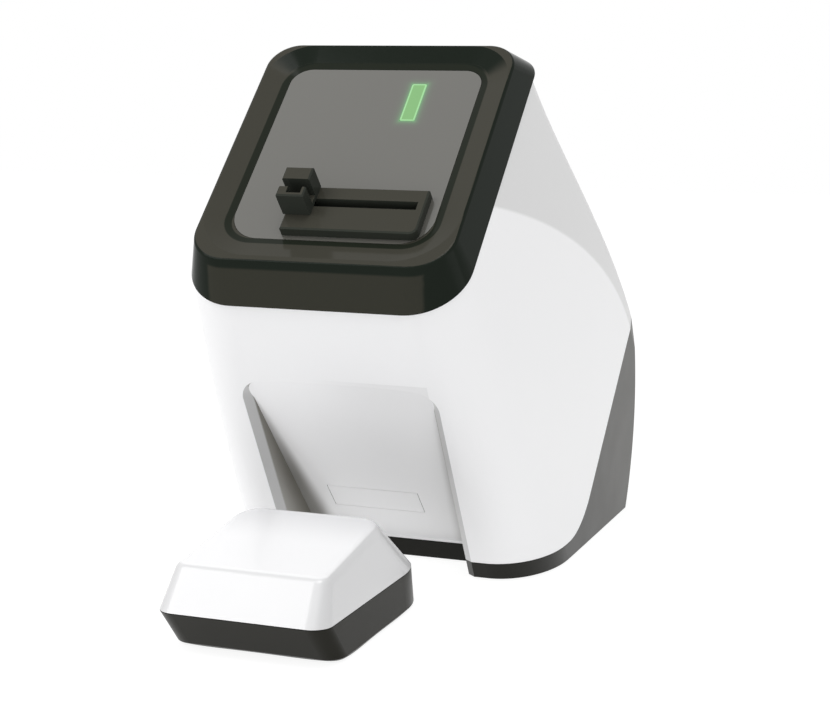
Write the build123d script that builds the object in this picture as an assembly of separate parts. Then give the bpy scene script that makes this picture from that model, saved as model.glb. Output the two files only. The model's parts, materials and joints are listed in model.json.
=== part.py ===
from build123d import *
import math
import os

# Bench-top phosphor plate scanner with its plate collector box pulled out in front.
# X runs to the right of someone facing the machine, Y to the back, Z up.
# The origin is on the table, on the middle plane, under the lower edge of the display window.
# Lengths are millimetres and angles are degrees. "Up" is measured up the sloping front panel
# and "depth" square to it, below the window's face.

# Table clearance, walls and fits
FOOT_HEIGHT = 0.5
FOOT_RADIUS = 6.0
FOOT_SINK = 1.0
WALL = 2.8
FLOOR_THICK = 2.6
SEAM_GAP = 0.2
SEAT_GAP = 0.2
RUN_FIT = 0.05
SHEET = 2.0
OVERLAP = 0.01

# Sloping front panel: its tilt back from the vertical and the height of the window's lower edge
PANEL_TILT = 46.3
PANEL_Z = 154.6

# Display window
WINDOW_WIDTH = 89.3
WINDOW_HEIGHT = 100.7
WINDOW_THICK = 3.0
WINDOW_TOP_RADIUS = 9.0
WINDOW_FOOT_RADIUS = 14.0

# Bezel frame around the window
BEZEL_DEPTH = 12.0
BEZEL_BACK_WIDTH = 124.8
BEZEL_BACK_LOW = -27.4
BEZEL_BACK_HIGH = 121.5
BEZEL_BACK_FOOT_RADIUS = 25.0
BEZEL_BACK_TOP_RADIUS = 12.0
BEZEL_RISE = 3.4
BEZEL_FACE_WIDTH = 115.5
BEZEL_FACE_LOW = -15.0
BEZEL_FACE_HIGH = 113.2
BEZEL_FACE_FOOT_RADIUS = 17.0
BEZEL_FACE_TOP_RADIUS = 14.0
BEZEL_EDGE_RADIUS = 1.6
BEZEL_WALL = 2.6
RIM_LAND = 0.8
RIM_OUTER = (BEZEL_FACE_WIDTH - WINDOW_WIDTH) / 2 - RIM_LAND
RIM_INNER = 3.6
RIM_EDGE_RISE = 0.8
LEDGE_WIDTH = 2.2
LEDGE_THICK = 2.0
COLLAR_REACH = 4.5
COLLAR_THICK = 1.6

# Housing, measured up the panel, across it and below it
FRONT_WIDTH = 124.6
REAR_WIDTH = 152.5
TOP_AT_BEZEL = 119.5
TOP_AT_SEAM = 134.5
CHIN_LINE = -25.4
FRONT_WALL_ANGLE = 12.75
SEAM_DEPTH = 198.0
CORNER_WIDTH = 24.0
CORNER_RISE_BEZEL = 24.0
CORNER_RISE_SEAM = 40.0
TOP_RADIUS_BEZEL = 12.0
TOP_RADIUS_SEAM = 8.0
SHOULDER_AT_BEZEL = 33.0
SHOULDER_AT_SEAM = 120.5
SHOULDER_POWER = 1.65
FACET_ANGLE = 8.0
FACET_START = 0.15
SECTION_STEP = 31.0
TAIL_LENGTH = 90.0

# Rear of the housing in side view
REAR_FOOT_Y = 229.0
REAR_BULGE_Y = 243.0
REAR_BULGE_Z = 64.0
REAR_TOP_Y = 231.5
REAR_TOP_Z = 105.5
REAR_EDGE_RADIUS = 5.0
REAR_LEAN = 40.0

# Seam between the white shell and the dark base
BASE_HEIGHT = 8.5
SEAM_RADIUS = 54.0

# Collector bay in the lower front
BAY_WIDTH = 82.6
BAY_LIP_WIDTH = 90.0
BAY_LIP_DEPTH = 3.0
BAY_LIP_OUTSIDE = 1.0
BAY_ROOF = -34.4
BAY_ARCH = 2.0
BAY_CORNER_RADIUS = 11.0
BAY_REAR_Y = 91.0
BAY_LINER_THICK = 2.4
BAY_FOOT_RADIUS = 7.0

# Slot platform on the window, and the slot through it
PLATFORM_LEFT = -19.7
PLATFORM_RIGHT = 40.06
PLATFORM_LOW = 2.15
PLATFORM_HIGH = 25.86
PLATFORM_RISE = 4.6
PLATFORM_BEVEL = 0.6
PLATFORM_CORNER = 3.2
SLOT_LEFT = -18.2
SLOT_RIGHT = 36.9
SLOT_LOW = 14.7
SLOT_HIGH = 19.1

# Sliding side guide that narrows the slot for smaller plates
GUIDE_LEFT = -20.16
GUIDE_RIGHT = -7.95
GUIDE_LOW = 9.77
GUIDE_HIGH = 25.85
GUIDE_RISE = 11.67
GUIDE_WEB = 2.0
GUIDE_STEP_RISE = 5.0
GUIDE_STEP_WIDTH = 6.4
GUIDE_STEP_SET = 1.6
GUIDE_STEP_LIP = 1.6
NECK_LEFT = -17.8
NECK_RIGHT = -15.6
NECK_WIDTH = 3.8
FOOT_PLATE_WIDTH = 9.0
FOOT_PLATE_LEFT = -22.0
FOOT_PLATE_RIGHT = -12.0
FOOT_PLATE_DEPTH = (3.3, 5.3)
RAIL_ENDS = (-24.0, 12.0)
RAIL_INSIDE = 10.0
RAIL_OUTSIDE = 14.0
RAIL_DEPTH = (3.0, 7.2)
RAIL_FLOOR = 5.6
RAIL_SLOT = 5.2

# Status light bar in the window
LIGHT_X = (13.5, 20.2)
LIGHT_UP = (69.7, 92.0)
LIGHT_PROUD = 0.15
LIGHT_RADIUS = 0.8
LED_BOARD_X = (8.0, 26.0)
LED_BOARD_UP = (66.0, 96.0)
LED_BOARD_DEPTH = (6.0, 7.6)
LED_SIZE = 3.0
LED_COUNT = 3

# Plate entry behind the slot
ENTRY_X = (-14.0, 44.0)
ENTRY_UP = (9.5, 25.0)
ENTRY_DEPTH = (7.7, 14.0)
ENTRY_MOUTH = 7.0
ENTRY_THROAT = 3.6
ENTRY_LEG = 3.0
SEAL_X = (-10.5, 39.5)
SEAL_WIDTH = 6.0
SEAL_GAP = 0.8

# Sheet metal frame that carries the plate path
FRAME_LEFT = -44.0
FRAME_RIGHT = 52.0
END_PLATE_UP = (-8.0, 30.0)
UPPER_PLATE_TOP = 16.0
LOWER_PLATE_TOP = 118.0
UPPER_PLATE_DEPTH = (UPPER_PLATE_TOP, UPPER_PLATE_TOP + SHEET)
LOWER_PLATE_DEPTH = (LOWER_PLATE_TOP, LOWER_PLATE_TOP + SHEET)
SIDE_FOOT = LOWER_PLATE_DEPTH[1] + 1.0
SIDE_TOP = [(-8.0, SIDE_FOOT), (-8.0, 14.0), (32.0, 14.0), (50.0, 24.0), (50.0, 52.0)]
SIDE_REAR = [(106.0, 66.0), (106.0, 84.0), (50.0, 96.0), (34.0, SIDE_FOOT)]
SIDE_LEG = [(150.0, 60.0), (150.0, 8.4), (116.0, 8.4), (112.0, 45.0)]
SIDE_HOLE = [(6.0, 50.0), (24.0, 50.0), (24.0, 84.0), (6.0, 84.0)]
FLANGE_Z = SIDE_LEG[1][1]
FLANGE_WIDTH = 12.0
FLANGE_BOSS_RADIUS = 4.0
FLANGE_SCREW_INSET = 6.0
FLANGE_SCREW_END = 6.0

SEAL_DEPTH = (ENTRY_DEPTH[1], UPPER_PLATE_TOP)

# Plate bed and its push carriage
BED_X = (-9.0, 38.0)
BED_TOP = 15.6
BED_THICK = 1.2
BED_EDGE_HEIGHT = 3.0
BED_EDGE_THICK = 1.0
FINGER_SPREAD = 12.0
FINGER_SLOT = 5.5
FINGER_WIDTH = 4.0
FINGER_THICK = 2.5
FINGER_TOP = 19.0
CARRIAGE_X = (-36.5, 50.0)
CARRIAGE_UP = (-1.0, 11.0)
CARRIAGE_DEPTH = (22.0, 34.0)
CARRIAGE_END_GAP = 4.0
CARRIAGE_TRAVEL = LOWER_PLATE_TOP - CARRIAGE_DEPTH[1] - CARRIAGE_END_GAP
ROD_X = (-15.5, 44.5)
ROD_UP = 5.0
ROD_RADIUS = 2.5
ROD_END = 2.6
ROD_DEPTH = (UPPER_PLATE_TOP - ROD_END, LOWER_PLATE_DEPTH[1] + ROD_END)
CLIP_RADIUS = 3.4
CLIP_THICK = 1.0
CLIP_SETBACK = 0.6
BUSH_RADIUS = 4.0

# Lead screw, its bearings and its motor
SCREW_X = -29.0
SCREW_RADIUS = 2.5
SCREW_END = 2.0
SCREW_DRIVE_END = 7.0
SCREW_DEPTH = (UPPER_PLATE_TOP - SCREW_END, LOWER_PLATE_DEPTH[1] + SCREW_DRIVE_END)
BEARING_RADIUS = 5.0
BEARING_LENGTH = 5.0
NUT_RADIUS = 5.0
NUT_FLANGE_RADIUS = 7.0
NUT_FLANGE_THICK = 2.0
SCREW_TIP = 0.5
COUPLER_RADIUS = 6.0
COUPLER_SETBACK = 2.2
COUPLER_REACH = 4.5
COUPLER_DEPTH = (LOWER_PLATE_DEPTH[1] + COUPLER_SETBACK, SCREW_DEPTH[1] + COUPLER_REACH)
BRACKET_SETBACK = 1.5
BRACKET_TOP = COUPLER_DEPTH[1] + BRACKET_SETBACK
BRACKET_DEPTH = (BRACKET_TOP, BRACKET_TOP + SHEET)
MOTOR_SIZE = 20.0
MOTOR_LENGTH = 30.0
MOTOR_DEPTH = (BRACKET_DEPTH[1], BRACKET_DEPTH[1] + MOTOR_LENGTH)
MOTOR_SHAFT_RADIUS = 2.0
MOTOR_SHAFT_DEPTH = (SCREW_DEPTH[1] + SEAT_GAP, MOTOR_DEPTH[0] + MOTOR_LENGTH / 2)
MOTOR_BOSS_RADIUS = 7.5
MOTOR_BOSS_HEIGHT = 2.0
MOTOR_CORNER_CUT = 2.0
BRACKET_X = (-44.0, -18.0)
BRACKET_UP = (-7.0, 17.0)
BRACKET_FLANGE = 14.0

# Home position sensor beside the carriage
SENSOR_X = (-44.0, -38.5)
SENSOR_UP = (0.0, 10.0)
SENSOR_DEPTH = (36.5, 46.5)
SENSOR_SLOT = 3.0

# Scanning optics
BENCH_UP = (40.0, 104.0)
BENCH_TOP = 74.0
BENCH_THICK = 2.0
BENCH_DEPTH = (BENCH_TOP, BENCH_TOP + BENCH_THICK)
BENCH_FLANGE = 8.0
BENCH_FLANGE_UP = (60.0, 100.0)
LASER_UP = 91.0
LASER_DEPTH = 66.0
LASER_RADIUS = 4.5
LASER_X = (-37.0, -4.0)
LASER_MOUNT_X = (-30.0, -8.0)
LASER_MOUNT_HALF = 7.0
LASER_MOUNT_TOP = 59.0
LASER_BOARD_SIZE = 14.0
LASER_BOARD_THICK = 1.6
MIRROR_X = 17.5
MIRROR_UP = 85.0
MIRROR_INRADIUS = 10.0
MIRROR_SIDES = 8
MIRROR_DEPTH = (62.0, 69.6)
MIRROR_HUB_RADIUS = 4.0
MIRROR_HUB_TOP = 61.0
MIRROR_MOTOR_RADIUS = 13.0
MIRROR_MOTOR_HEIGHT = 4.0
MIRROR_MOTOR_DEPTH = (BENCH_TOP - MIRROR_MOTOR_HEIGHT, BENCH_TOP)
SPINDLE_RADIUS = 1.5
SPINDLE_TOP = 60.2
LENS_X = (-10.0, 39.0)
LENS_UP = (56.0, 62.0)
LENS_CROWN = 4.0
LENS_HEIGHT = 12.0
LENS_DEPTH = (BENCH_TOP - LENS_HEIGHT, BENCH_TOP)
CLAMP_LENGTH = 7.0
CLAMP_THICK = 1.0

# Light collection
PICKUP_WIDTH = 46.0
PICKUP_DEPTH = (58.0, 62.0)
PICKUP_UP = 21.5
DETECTOR_DEPTH = 42.0
GUIDE_END_SIZE = 21.0
GUIDE_END_UP = 43.0
DETECTOR_SHELF_UP = (44.5, 46.0)
DETECTOR_SHELF_DEPTH = (26.0, 58.0)
DETECTOR_RADIUS = 12.0
DETECTOR_TOP = 90.0
SHIELD_BORE = 12.4
SHIELD_RADIUS = 14.0
SHIELD_TOP = 94.0

# Erasing lamp after the scan line
ERASER_X = (-12.0, 41.0)
ERASER_DEPTH = (84.0, 106.0)
ERASER_UP = (27.0, 28.6)
ERASER_LED = 3.0
ERASER_LED_HEIGHT = 1.5
ERASER_COLUMNS = 4
ERASER_STRIP_DEPTH = (91.0, 99.0)

# Exit chute from the bed to the bay
CHUTE_WALL = 1.6
CHUTE_TOP_X = (-9.6, 38.6)
CHUTE_TOP_UP = (8.0, 28.0)
CHUTE_FOOT_X = (-25.0, 17.0)
CHUTE_FOOT_DEPTH = (131.0, 145.0)
MOUTH_MARGIN = 1.0

# Flap that closes the chute's mouth in the bay
FLAP_THICK = 1.6
FLAP_PIN_RADIUS = 0.45
FLAP_PIN = 1.4

# Circuit board behind the frame
BOARD_X = (-58.0, 58.0)
BOARD_Z = (12.0, 92.0)
BOARD_Y = 208.0
BOARD_THICK = 1.6
SPACER_LENGTH = 4.0
SPACER_RADIUS = 3.0
SPACER_X = 50.0
SPACER_Z = (20.0, 84.0)
SUPPORT_FOOT = 20.0
SUPPORT_SCREW_X = 40.0
SUPPORT_RIM = 6.0
SUPPORT_RIM_HEIGHT = 14.0
CHIPS = [(0.0, 40.0, 16.0, 16.0, 1.8), (28.0, 46.0, 12.0, 8.0, 1.6)]
CHIPS += [(-28.0, 62.0, 10.0, 10.0, 1.6), (0.0, 76.0, 40.0, 6.0, 3.5)]
CAPACITORS = [(-32.0, 30.0, 4.0, 3.6), (-22.0, 30.0, 4.0, 3.6), (34.0, 66.0, 5.0, 3.6)]

# Connector recess in the rear wall
RECESS_X = 35.0
RECESS_Z = (20.0, 46.0)
RECESS_FLOOR_Y = 226.0
RECESS_WALL = 2.4
RECESS_LEDGE = 2.0
CONNECTOR_PLATE_THICK = 1.8
INLET_X = -25.5
INLET_Z = 31.0
INLET_RADIUS = 4.4
INLET_BORE = 3.1
INLET_PIN = 1.0
INLET_SIZE = 11.0
INLET_DEEP = 11.0
PORT_X = (-8.0, 8.0)
PORT_Z = (24.0, 37.5)
PORT_PROUD = 0.8
PORT_WALL = 1.6
PORT_DEPTH = 13.0
PORT_LATCH = 5.0
SWITCH_X = 23.5
SWITCH_Z = 32.0
SWITCH_WIDTH = 13.0
SWITCH_HEIGHT = 18.0
SWITCH_FLANGE = 1.3
SWITCH_FLANGE_THICK = 1.5
SWITCH_WALL = 1.4
SWITCH_BODY_Y = 212.0
SWITCH_WELL = 6.0
ROCKER_PIVOT_Y = 223.5
ROCKER_WIDTH = 9.4
ROCKER_HALF = 5.6
ROCKER_FACE = 5.4
ROCKER_VALLEY = 3.8
ROCKER_BACK = 1.2
ROCKER_TILT = 9.0
ROCKER_STUB_RADIUS = 1.2
ROCKER_STUB = 1.2

# Rear vents
VENT_COUNT = 9
VENT_PITCH = 8.0
VENT_WIDTH = 3.0
VENT_Z = (62.0, 78.0)

# Housing screws: x, y and height of the joint between the base post and the shell boss
POST_PLACES = [(REAR_WIDTH / 2 - 20.25, 106.0, 20.0), (REAR_WIDTH / 2 - 12.25, 160.0, 44.0)]
POST_RADIUS = 5.2
BOSS_RADIUS = 4.6
BOSS_HEIGHT = 16.0
BOSS_RIB = 3.0
SCREW_GRIP = 14.0
HEAD_RADIUS = 3.0
HEAD_HEIGHT = 2.2
HEAD_BORE = 3.4
SCREW_REACH = 11.0
SHANK_RADIUS = 1.45
SHANK_BORE = 1.5

# Rubber feet
FOOT_PLACES = [(REAR_WIDTH / 2 - 17.25, 87.0), (REAR_WIDTH / 2 - 18.25, 206.0)]

# Collector box that slides into the bay
BOX_SEAM_Z = 17.0
BOX_SEAM_GAP = 0.3
BOX_FOOT_WIDTH = 72.0
BOX_FOOT_Y = (-68.0, 31.0)
BOX_WIDTH = 71.8
BOX_Y = (-84.0, 27.5)
BOX_CORNER = 8.0
BOX_REAR_RUN = 14.0
BOX_REAR_RISE = 27.0
BOX_WALL = 2.2
LID_TOP_WIDTH = 65.0
LID_TOP_FRONT = (-72.5, 34.0)
LID_TOP_REAR = (-11.5, 43.5)
LID_TOP_CORNER = 5.5
LID_REAR_RUN = 11.0
LID_REAR_RISE = 14.0
LID_EDGE_RADIUS = 4.5
LID_SKIRT = 3.0
SKIRT_GAP = 0.6
BOX_MOUTH_WIDTH = 55.0
BOX_MOUTH_Z = (20.0, 37.5)
TRAY_BEVEL = 1.5
PAD_THICK = 3.0
PAD_WIDTH = 62.0
PAD_Y = (-58.0, 11.0)

TILT = math.radians(PANEL_TILT)
FAR = 400.0
FLOOR_TOP = FOOT_HEIGHT + FLOOR_THICK
SLOT_UP = (SLOT_LOW + SLOT_HIGH) / 2
TRACK_X = (SLOT_RIGHT + GUIDE_RIGHT) / 2


def side_point(up, depth):
    """Y and Z of a point given by its distance up the panel and its depth below the panel."""
    y = up * math.sin(TILT) + depth * math.cos(TILT)
    z = PANEL_Z + up * math.cos(TILT) - depth * math.sin(TILT)
    return y, z


def panel_plane(depth=0.0):
    """Plane parallel to the window at a depth below it, with its y axis up the panel."""
    y, z = side_point(0.0, depth)
    return Plane(origin=(0, y, z), x_dir=(1, 0, 0), z_dir=(0, -math.cos(TILT), math.sin(TILT)))


def panel_box(x, up, depth):
    """Block in the panel's own directions, each given as a low and high limit."""
    size = Box(x[1] - x[0], up[1] - up[0], depth[1] - depth[0])
    centre = Pos((x[0] + x[1]) / 2, (up[0] + up[1]) / 2, -(depth[0] + depth[1]) / 2)
    return panel_plane().location * centre * size


def panel_rod(x, up, radius, depth):
    """Round bar square to the panel between two depths."""
    bar = Cylinder(radius, depth[1] - depth[0])
    return panel_plane().location * Pos(x, up, -(depth[0] + depth[1]) / 2) * bar


def cross_rod(x, up, depth, radius):
    """Round bar along X between two values of x."""
    bar = Pos((x[0] + x[1]) / 2, up, -depth) * Rot(0, 90, 0) * Cylinder(radius, x[1] - x[0])
    return panel_plane().location * bar


def rise_rod(x, depth, radius, up):
    """Round bar along the panel's upward direction."""
    bar = Pos(x, (up[0] + up[1]) / 2, -depth) * Rot(90, 0, 0) * Cylinder(radius, up[1] - up[0])
    return panel_plane().location * bar


def world_box(x, y, z):
    """Upright block, each direction given as a low and high limit."""
    centre = Pos((x[0] + x[1]) / 2, (y[0] + y[1]) / 2, (z[0] + z[1]) / 2)
    return centre * Box(x[1] - x[0], y[1] - y[0], z[1] - z[0])


def post(x, y, radius, z):
    """Upright round bar between two heights."""
    return Pos(x, y, (z[0] + z[1]) / 2) * Cylinder(radius, z[1] - z[0])


def side_slab(points, x):
    """Flat plate square to X with the given side view outline."""
    corners = [Vector(x[0], y, z) for y, z in points]
    return extrude(make_face(Polyline(*corners, close=True)), amount=x[1] - x[0], dir=(1, 0, 0))


def panel_point(x, up, depth):
    """Point in the panel's own directions."""
    y, z = side_point(up, depth)
    return Vector(x, y, z)


def rise_plane(x, up, depth):
    """Plane square to the panel's upward direction, with its y axis pointing deeper."""
    upward = (0, math.sin(TILT), math.cos(TILT))
    return Plane(origin=panel_point(x, up, depth), x_dir=(1, 0, 0), z_dir=upward)


def round_rect(width, low, high, low_radius, high_radius, depth):
    """Face parallel to the panel with rounded corners, larger or smaller at the foot."""
    half = width / 2
    edges = [Line((-(half - low_radius), low), (half - low_radius, low))]
    edges.append(CenterArc((half - low_radius, low + low_radius), low_radius, -90, 90))
    edges.append(Line((half, low + low_radius), (half, high - high_radius)))
    edges.append(CenterArc((half - high_radius, high - high_radius), high_radius, 0, 90))
    edges.append(Line((half - high_radius, high), (-(half - high_radius), high)))
    edges.append(CenterArc((-(half - high_radius), high - high_radius), high_radius, 90, 90))
    edges.append(Line((-half, high - high_radius), (-half, low + low_radius)))
    edges.append(CenterArc((-(half - low_radius), low + low_radius), low_radius, 180, 90))
    return panel_plane(depth) * make_face(edges)


def housing_outline(depth, inset=0.0):
    """Cross section of the housing parallel to the panel."""
    share = min(max((depth - BEZEL_DEPTH) / (SEAM_DEPTH - BEZEL_DEPTH), 0.0), 1.0)
    rest = 1.0 - share
    half = REAR_WIDTH / 2 - (REAR_WIDTH - FRONT_WIDTH) / 2 * rest ** 2 - inset
    top = TOP_AT_BEZEL + (TOP_AT_SEAM - TOP_AT_BEZEL) * share - inset
    bottom = CHIN_LINE - math.tan(math.radians(FRONT_WALL_ANGLE)) * (depth - BEZEL_DEPTH) + inset
    rise = CORNER_RISE_BEZEL + (CORNER_RISE_SEAM - CORNER_RISE_BEZEL) * share - inset
    run = CORNER_WIDTH - inset
    radius = TOP_RADIUS_BEZEL + (TOP_RADIUS_SEAM - TOP_RADIUS_BEZEL) * share - inset
    shoulder = SHOULDER_AT_BEZEL + (SHOULDER_AT_SEAM - SHOULDER_AT_BEZEL) * (1 - rest ** SHOULDER_POWER)
    lean = FACET_ANGLE * (FACET_START + (1 - FACET_START) * (1 - rest ** 3))
    slope = math.radians(lean)
    facet_top = top - radius + radius * math.sin(slope)
    facet_x = half - math.tan(slope) * (facet_top - shoulder)
    centre_x = facet_x - radius * math.cos(slope)
    turn = half - run
    edges = [Line((-turn, bottom), (turn, bottom))]
    edges.append(EllipticalCenterArc((turn, bottom + rise), run, rise, start_angle=-90, arc_size=90))
    edges.append(Line((half, bottom + rise), (half, shoulder)))
    edges.append(Line((half, shoulder), (facet_x, facet_top)))
    edges.append(CenterArc((centre_x, top - radius), radius, lean, 90 - lean))
    edges.append(Line((centre_x, top), (-centre_x, top)))
    edges.append(CenterArc((-centre_x, top - radius), radius, 90, 90 - lean))
    edges.append(Line((-facet_x, facet_top), (-half, shoulder)))
    edges.append(Line((-half, shoulder), (-half, bottom + rise)))
    edges.append(EllipticalCenterArc((-turn, bottom + rise), run, rise, start_angle=180, arc_size=90))
    return panel_plane(depth) * make_face(edges)


def housing_solid(inset=0.0):
    """Whole housing as one form, or the room inside it when an inset is given."""
    count = round((SEAM_DEPTH - BEZEL_DEPTH) / SECTION_STEP)
    depths = [BEZEL_DEPTH + (SEAM_DEPTH - BEZEL_DEPTH) * i / count for i in range(count + 1)]
    front = loft([housing_outline(depth, inset) for depth in depths])
    if inset > 0:
        front += extrude(housing_outline(BEZEL_DEPTH, inset), amount=inset)
    tail = extrude(housing_outline(SEAM_DEPTH, inset), amount=-TAIL_LENGTH)
    return (front + tail) & profile_solid(inset)


def profile_solid(inset=0.0):
    """Side view limits of the housing: flat underside and bulged rear wall."""
    low = FLOOR_TOP if inset > 0 else FOOT_HEIGHT
    start = Vector(0, REAR_FOOT_Y - inset, low)
    middle = Vector(0, REAR_BULGE_Y - inset, REAR_BULGE_Z)
    end = Vector(0, REAR_TOP_Y - inset, REAR_TOP_Z)
    above = Vector(0, REAR_TOP_Y - inset - REAR_LEAN, FAR)
    edges = [Line((0, -FAR, low), start)]
    edges.append(ThreePointArc(start, middle, end))
    edges.append(Line(end, above))
    edges.append(Line(above, (0, -FAR, FAR)))
    edges.append(Line((0, -FAR, FAR), (0, -FAR, low)))
    return extrude(make_face(edges), amount=REAR_WIDTH, both=True)


def housing_outer():
    """Housing form with its rear wall edges rounded."""
    form = housing_solid()
    rear = form.faces().sort_by(Axis.Y)[-1]
    edges = [edge for edge in rear.edges() if edge.center().Z > FLOOR_TOP]
    return fillet(edges, REAR_EDGE_RADIUS)


def shell_side(gap=0.0):
    """Everything on the white shell's side of the seam, moved outwards by a gap."""
    low = BASE_HEIGHT - gap
    depth = SEAM_DEPTH + gap
    corner_y = (depth + (low - PANEL_Z) * math.sin(TILT)) / math.cos(TILT)
    far_y = corner_y + FAR * math.sin(TILT)
    far_z = low + FAR * math.cos(TILT)
    reach = SEAM_RADIUS * math.tan((math.pi / 2 - TILT) / 2)
    first = Vector(0, corner_y - reach, low)
    last = Vector(0, corner_y + reach * math.sin(TILT), low + reach * math.cos(TILT))
    edges = [Line((0, -FAR, low), first)]
    edges.append(TangentArc(first, last, tangent=(0, 1, 0)))
    edges.append(Line(last, (0, far_y, far_z)))
    edges.append(Line((0, far_y, far_z), (0, -FAR, far_z)))
    edges.append(Line((0, -FAR, far_z), (0, -FAR, low)))
    return extrude(make_face(edges), amount=REAR_WIDTH, both=True)


def front_wall_plane(rise=0.0):
    """Plane of the sloping front wall moved outwards by a rise, with its y axis up the wall."""
    y, z = side_point(CHIN_LINE, BEZEL_DEPTH)
    turn = TILT + math.radians(FRONT_WALL_ANGLE)
    normal = Vector(0, -math.sin(turn), -math.cos(turn))
    return Plane(origin=Vector(0, y, z) + normal * rise, x_dir=(1, 0, 0), z_dir=normal)


def bay_outline(half, grow, rise):
    """Outline of the bay in the front wall: straight sides, round corners and a low arch."""
    top = (BAY_ROOF - CHIN_LINE) / math.sin(math.radians(FRONT_WALL_ANGLE)) + grow
    left = (-half, top - BAY_ARCH)
    right = (half, top - BAY_ARCH)
    edges = [Line((-half, -FAR), (half, -FAR)), Line((half, -FAR), right)]
    edges.append(ThreePointArc(right, (0, top), left))
    edges.append(Line(left, (-half, -FAR)))
    face = make_face(edges)
    corners = face.vertices().sort_by(Axis.Y)[-2:]
    return front_wall_plane(rise) * fillet(corners, BAY_CORNER_RADIUS + grow)


def bay_limit(grow=0.0):
    """Everything under the bay's sloping roof and in front of its rear wall."""
    under = panel_box((-FAR, FAR), (-FAR, BAY_ROOF + grow), (-FAR, FAR))
    return under & world_box((-FAR, FAR), (-FAR, BAY_REAR_Y + grow), (-FAR, FAR))


def bay_form(grow=0.0):
    """Room of the collector bay, open at the table and to the front."""
    outline = bay_outline(BAY_WIDTH / 2 + grow, grow, BAY_LIP_OUTSIDE)
    return extrude(outline, amount=-FAR / 2) & bay_limit(grow)


def bay_lip():
    """Flared cut that opens the bay's side walls at the front wall."""
    spread = (BAY_LIP_WIDTH - BAY_WIDTH) / 2 / BAY_LIP_DEPTH
    outer = bay_outline(BAY_LIP_WIDTH / 2 + spread * BAY_LIP_OUTSIDE, 0.0, BAY_LIP_OUTSIDE)
    inner = bay_outline(BAY_WIDTH / 2, 0.0, -BAY_LIP_DEPTH)
    return loft([inner, outer], ruled=True) & bay_limit()


def bay_walls():
    """Walls that line the bay, cut to the outside of the housing."""
    return (bay_form(BAY_LINER_THICK) - bay_form()) & housing_solid()


def chute_mouth():
    """Opening in the bay's sloping roof where plates drop out of the chute."""
    x, depth = mouth_limits()
    mouth = panel_box(x, (BAY_ROOF - 5, BAY_ROOF + BAY_LINER_THICK + 1), depth)
    pin = (x[0] - FLAP_PIN - SEAT_GAP, x[1] + FLAP_PIN + SEAT_GAP)
    return mouth + cross_rod(pin, *flap_pivot(), FLAP_PIN_RADIUS + RUN_FIT)


def mouth_limits():
    """Width and depth limits of the chute's mouth."""
    x = (CHUTE_FOOT_X[0] - MOUTH_MARGIN, CHUTE_FOOT_X[1] + MOUTH_MARGIN)
    return x, (CHUTE_FOOT_DEPTH[0] - MOUTH_MARGIN, CHUTE_FOOT_DEPTH[1] + MOUTH_MARGIN)


def flap_pivot():
    """Up and depth of the flap's hinge line, at the middle of its rounded top edge."""
    depth = mouth_limits()[1]
    return BAY_ROOF + FLAP_THICK / 2, depth[0] + SEAT_GAP + FLAP_THICK / 2


def exit_flap():
    """Flap flush with the bay's roof that a falling plate pushes open."""
    x, depth = mouth_limits()
    wide = (x[0] + SEAT_GAP, x[1] - SEAT_GAP)
    up, top = flap_pivot()
    flap = panel_box(wide, (BAY_ROOF, BAY_ROOF + FLAP_THICK), (top, depth[1] - SEAT_GAP))
    flap += cross_rod(wide, up, top, FLAP_THICK / 2)
    return flap + cross_rod((wide[0] - FLAP_PIN, wide[1] + FLAP_PIN), up, top, FLAP_PIN_RADIUS)


def cabinet_walls():
    """All outer walls of the housing with the bay, before the seam divides them."""
    walls = housing_outer() - housing_solid(WALL)
    walls += bay_walls()
    return walls - bay_form() - bay_lip() - chute_mouth()


def mirrored(shape):
    """The shape together with its mirror image across the middle plane."""
    return shape + mirror(shape, about=Plane.YZ)


def main_shell(walls):
    """White shell: all the walls above the seam, with its screw bosses inside."""
    shell = walls & shell_side()
    for x, y, z in POST_PLACES:
        top = z + BOSS_HEIGHT
        boss = post(x, y, BOSS_RADIUS, (z, top))
        rib = world_box((x, REAR_WIDTH / 2), (y - BOSS_RIB / 2, y + BOSS_RIB / 2), (z, top))
        boss += rib & housing_solid(WALL / 2)
        boss -= post(x, y, SHANK_BORE, (z - 1, top - 2))
        shell += mirrored(boss)
    return shell - panel_box((-FAR, FAR), (-FAR, FAR), (-60, BEZEL_DEPTH))


def base_housing(walls):
    """Dark base: floor, rear wall and everything else below the seam."""
    base = walls - shell_side(SEAM_GAP)
    base = base + base_strip_end(-1) + base_strip_end(1) - base_strip_cut()
    for x, y, z in POST_PLACES:
        column = post(x, y, POST_RADIUS, (FOOT_HEIGHT, z))
        column -= post(x, y, SHANK_BORE, (0, z + 1))
        column -= post(x, y, HEAD_BORE, (0, z - SCREW_GRIP))
        base = base - mirrored(post(x, y, HEAD_BORE, (0, FLOOR_TOP))) + mirrored(column)
    for x, y in flange_screw_places():
        boss = post(x, y, FLANGE_BOSS_RADIUS, (FLOOR_TOP - 1, FLANGE_Z))
        base += boss - post(x, y, SHANK_BORE, (FLOOR_TOP, FAR))
    for x, y in FOOT_PLACES:
        base -= mirrored(post(x, y, FOOT_RADIUS + SEAT_GAP, (0, FOOT_HEIGHT + FOOT_SINK)))
    for x, y in support_screw_places():
        base -= post(x, y, SHANK_BORE, (FOOT_HEIGHT + 1, FAR))
    return connector_recess(base) - rear_vents()


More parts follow.
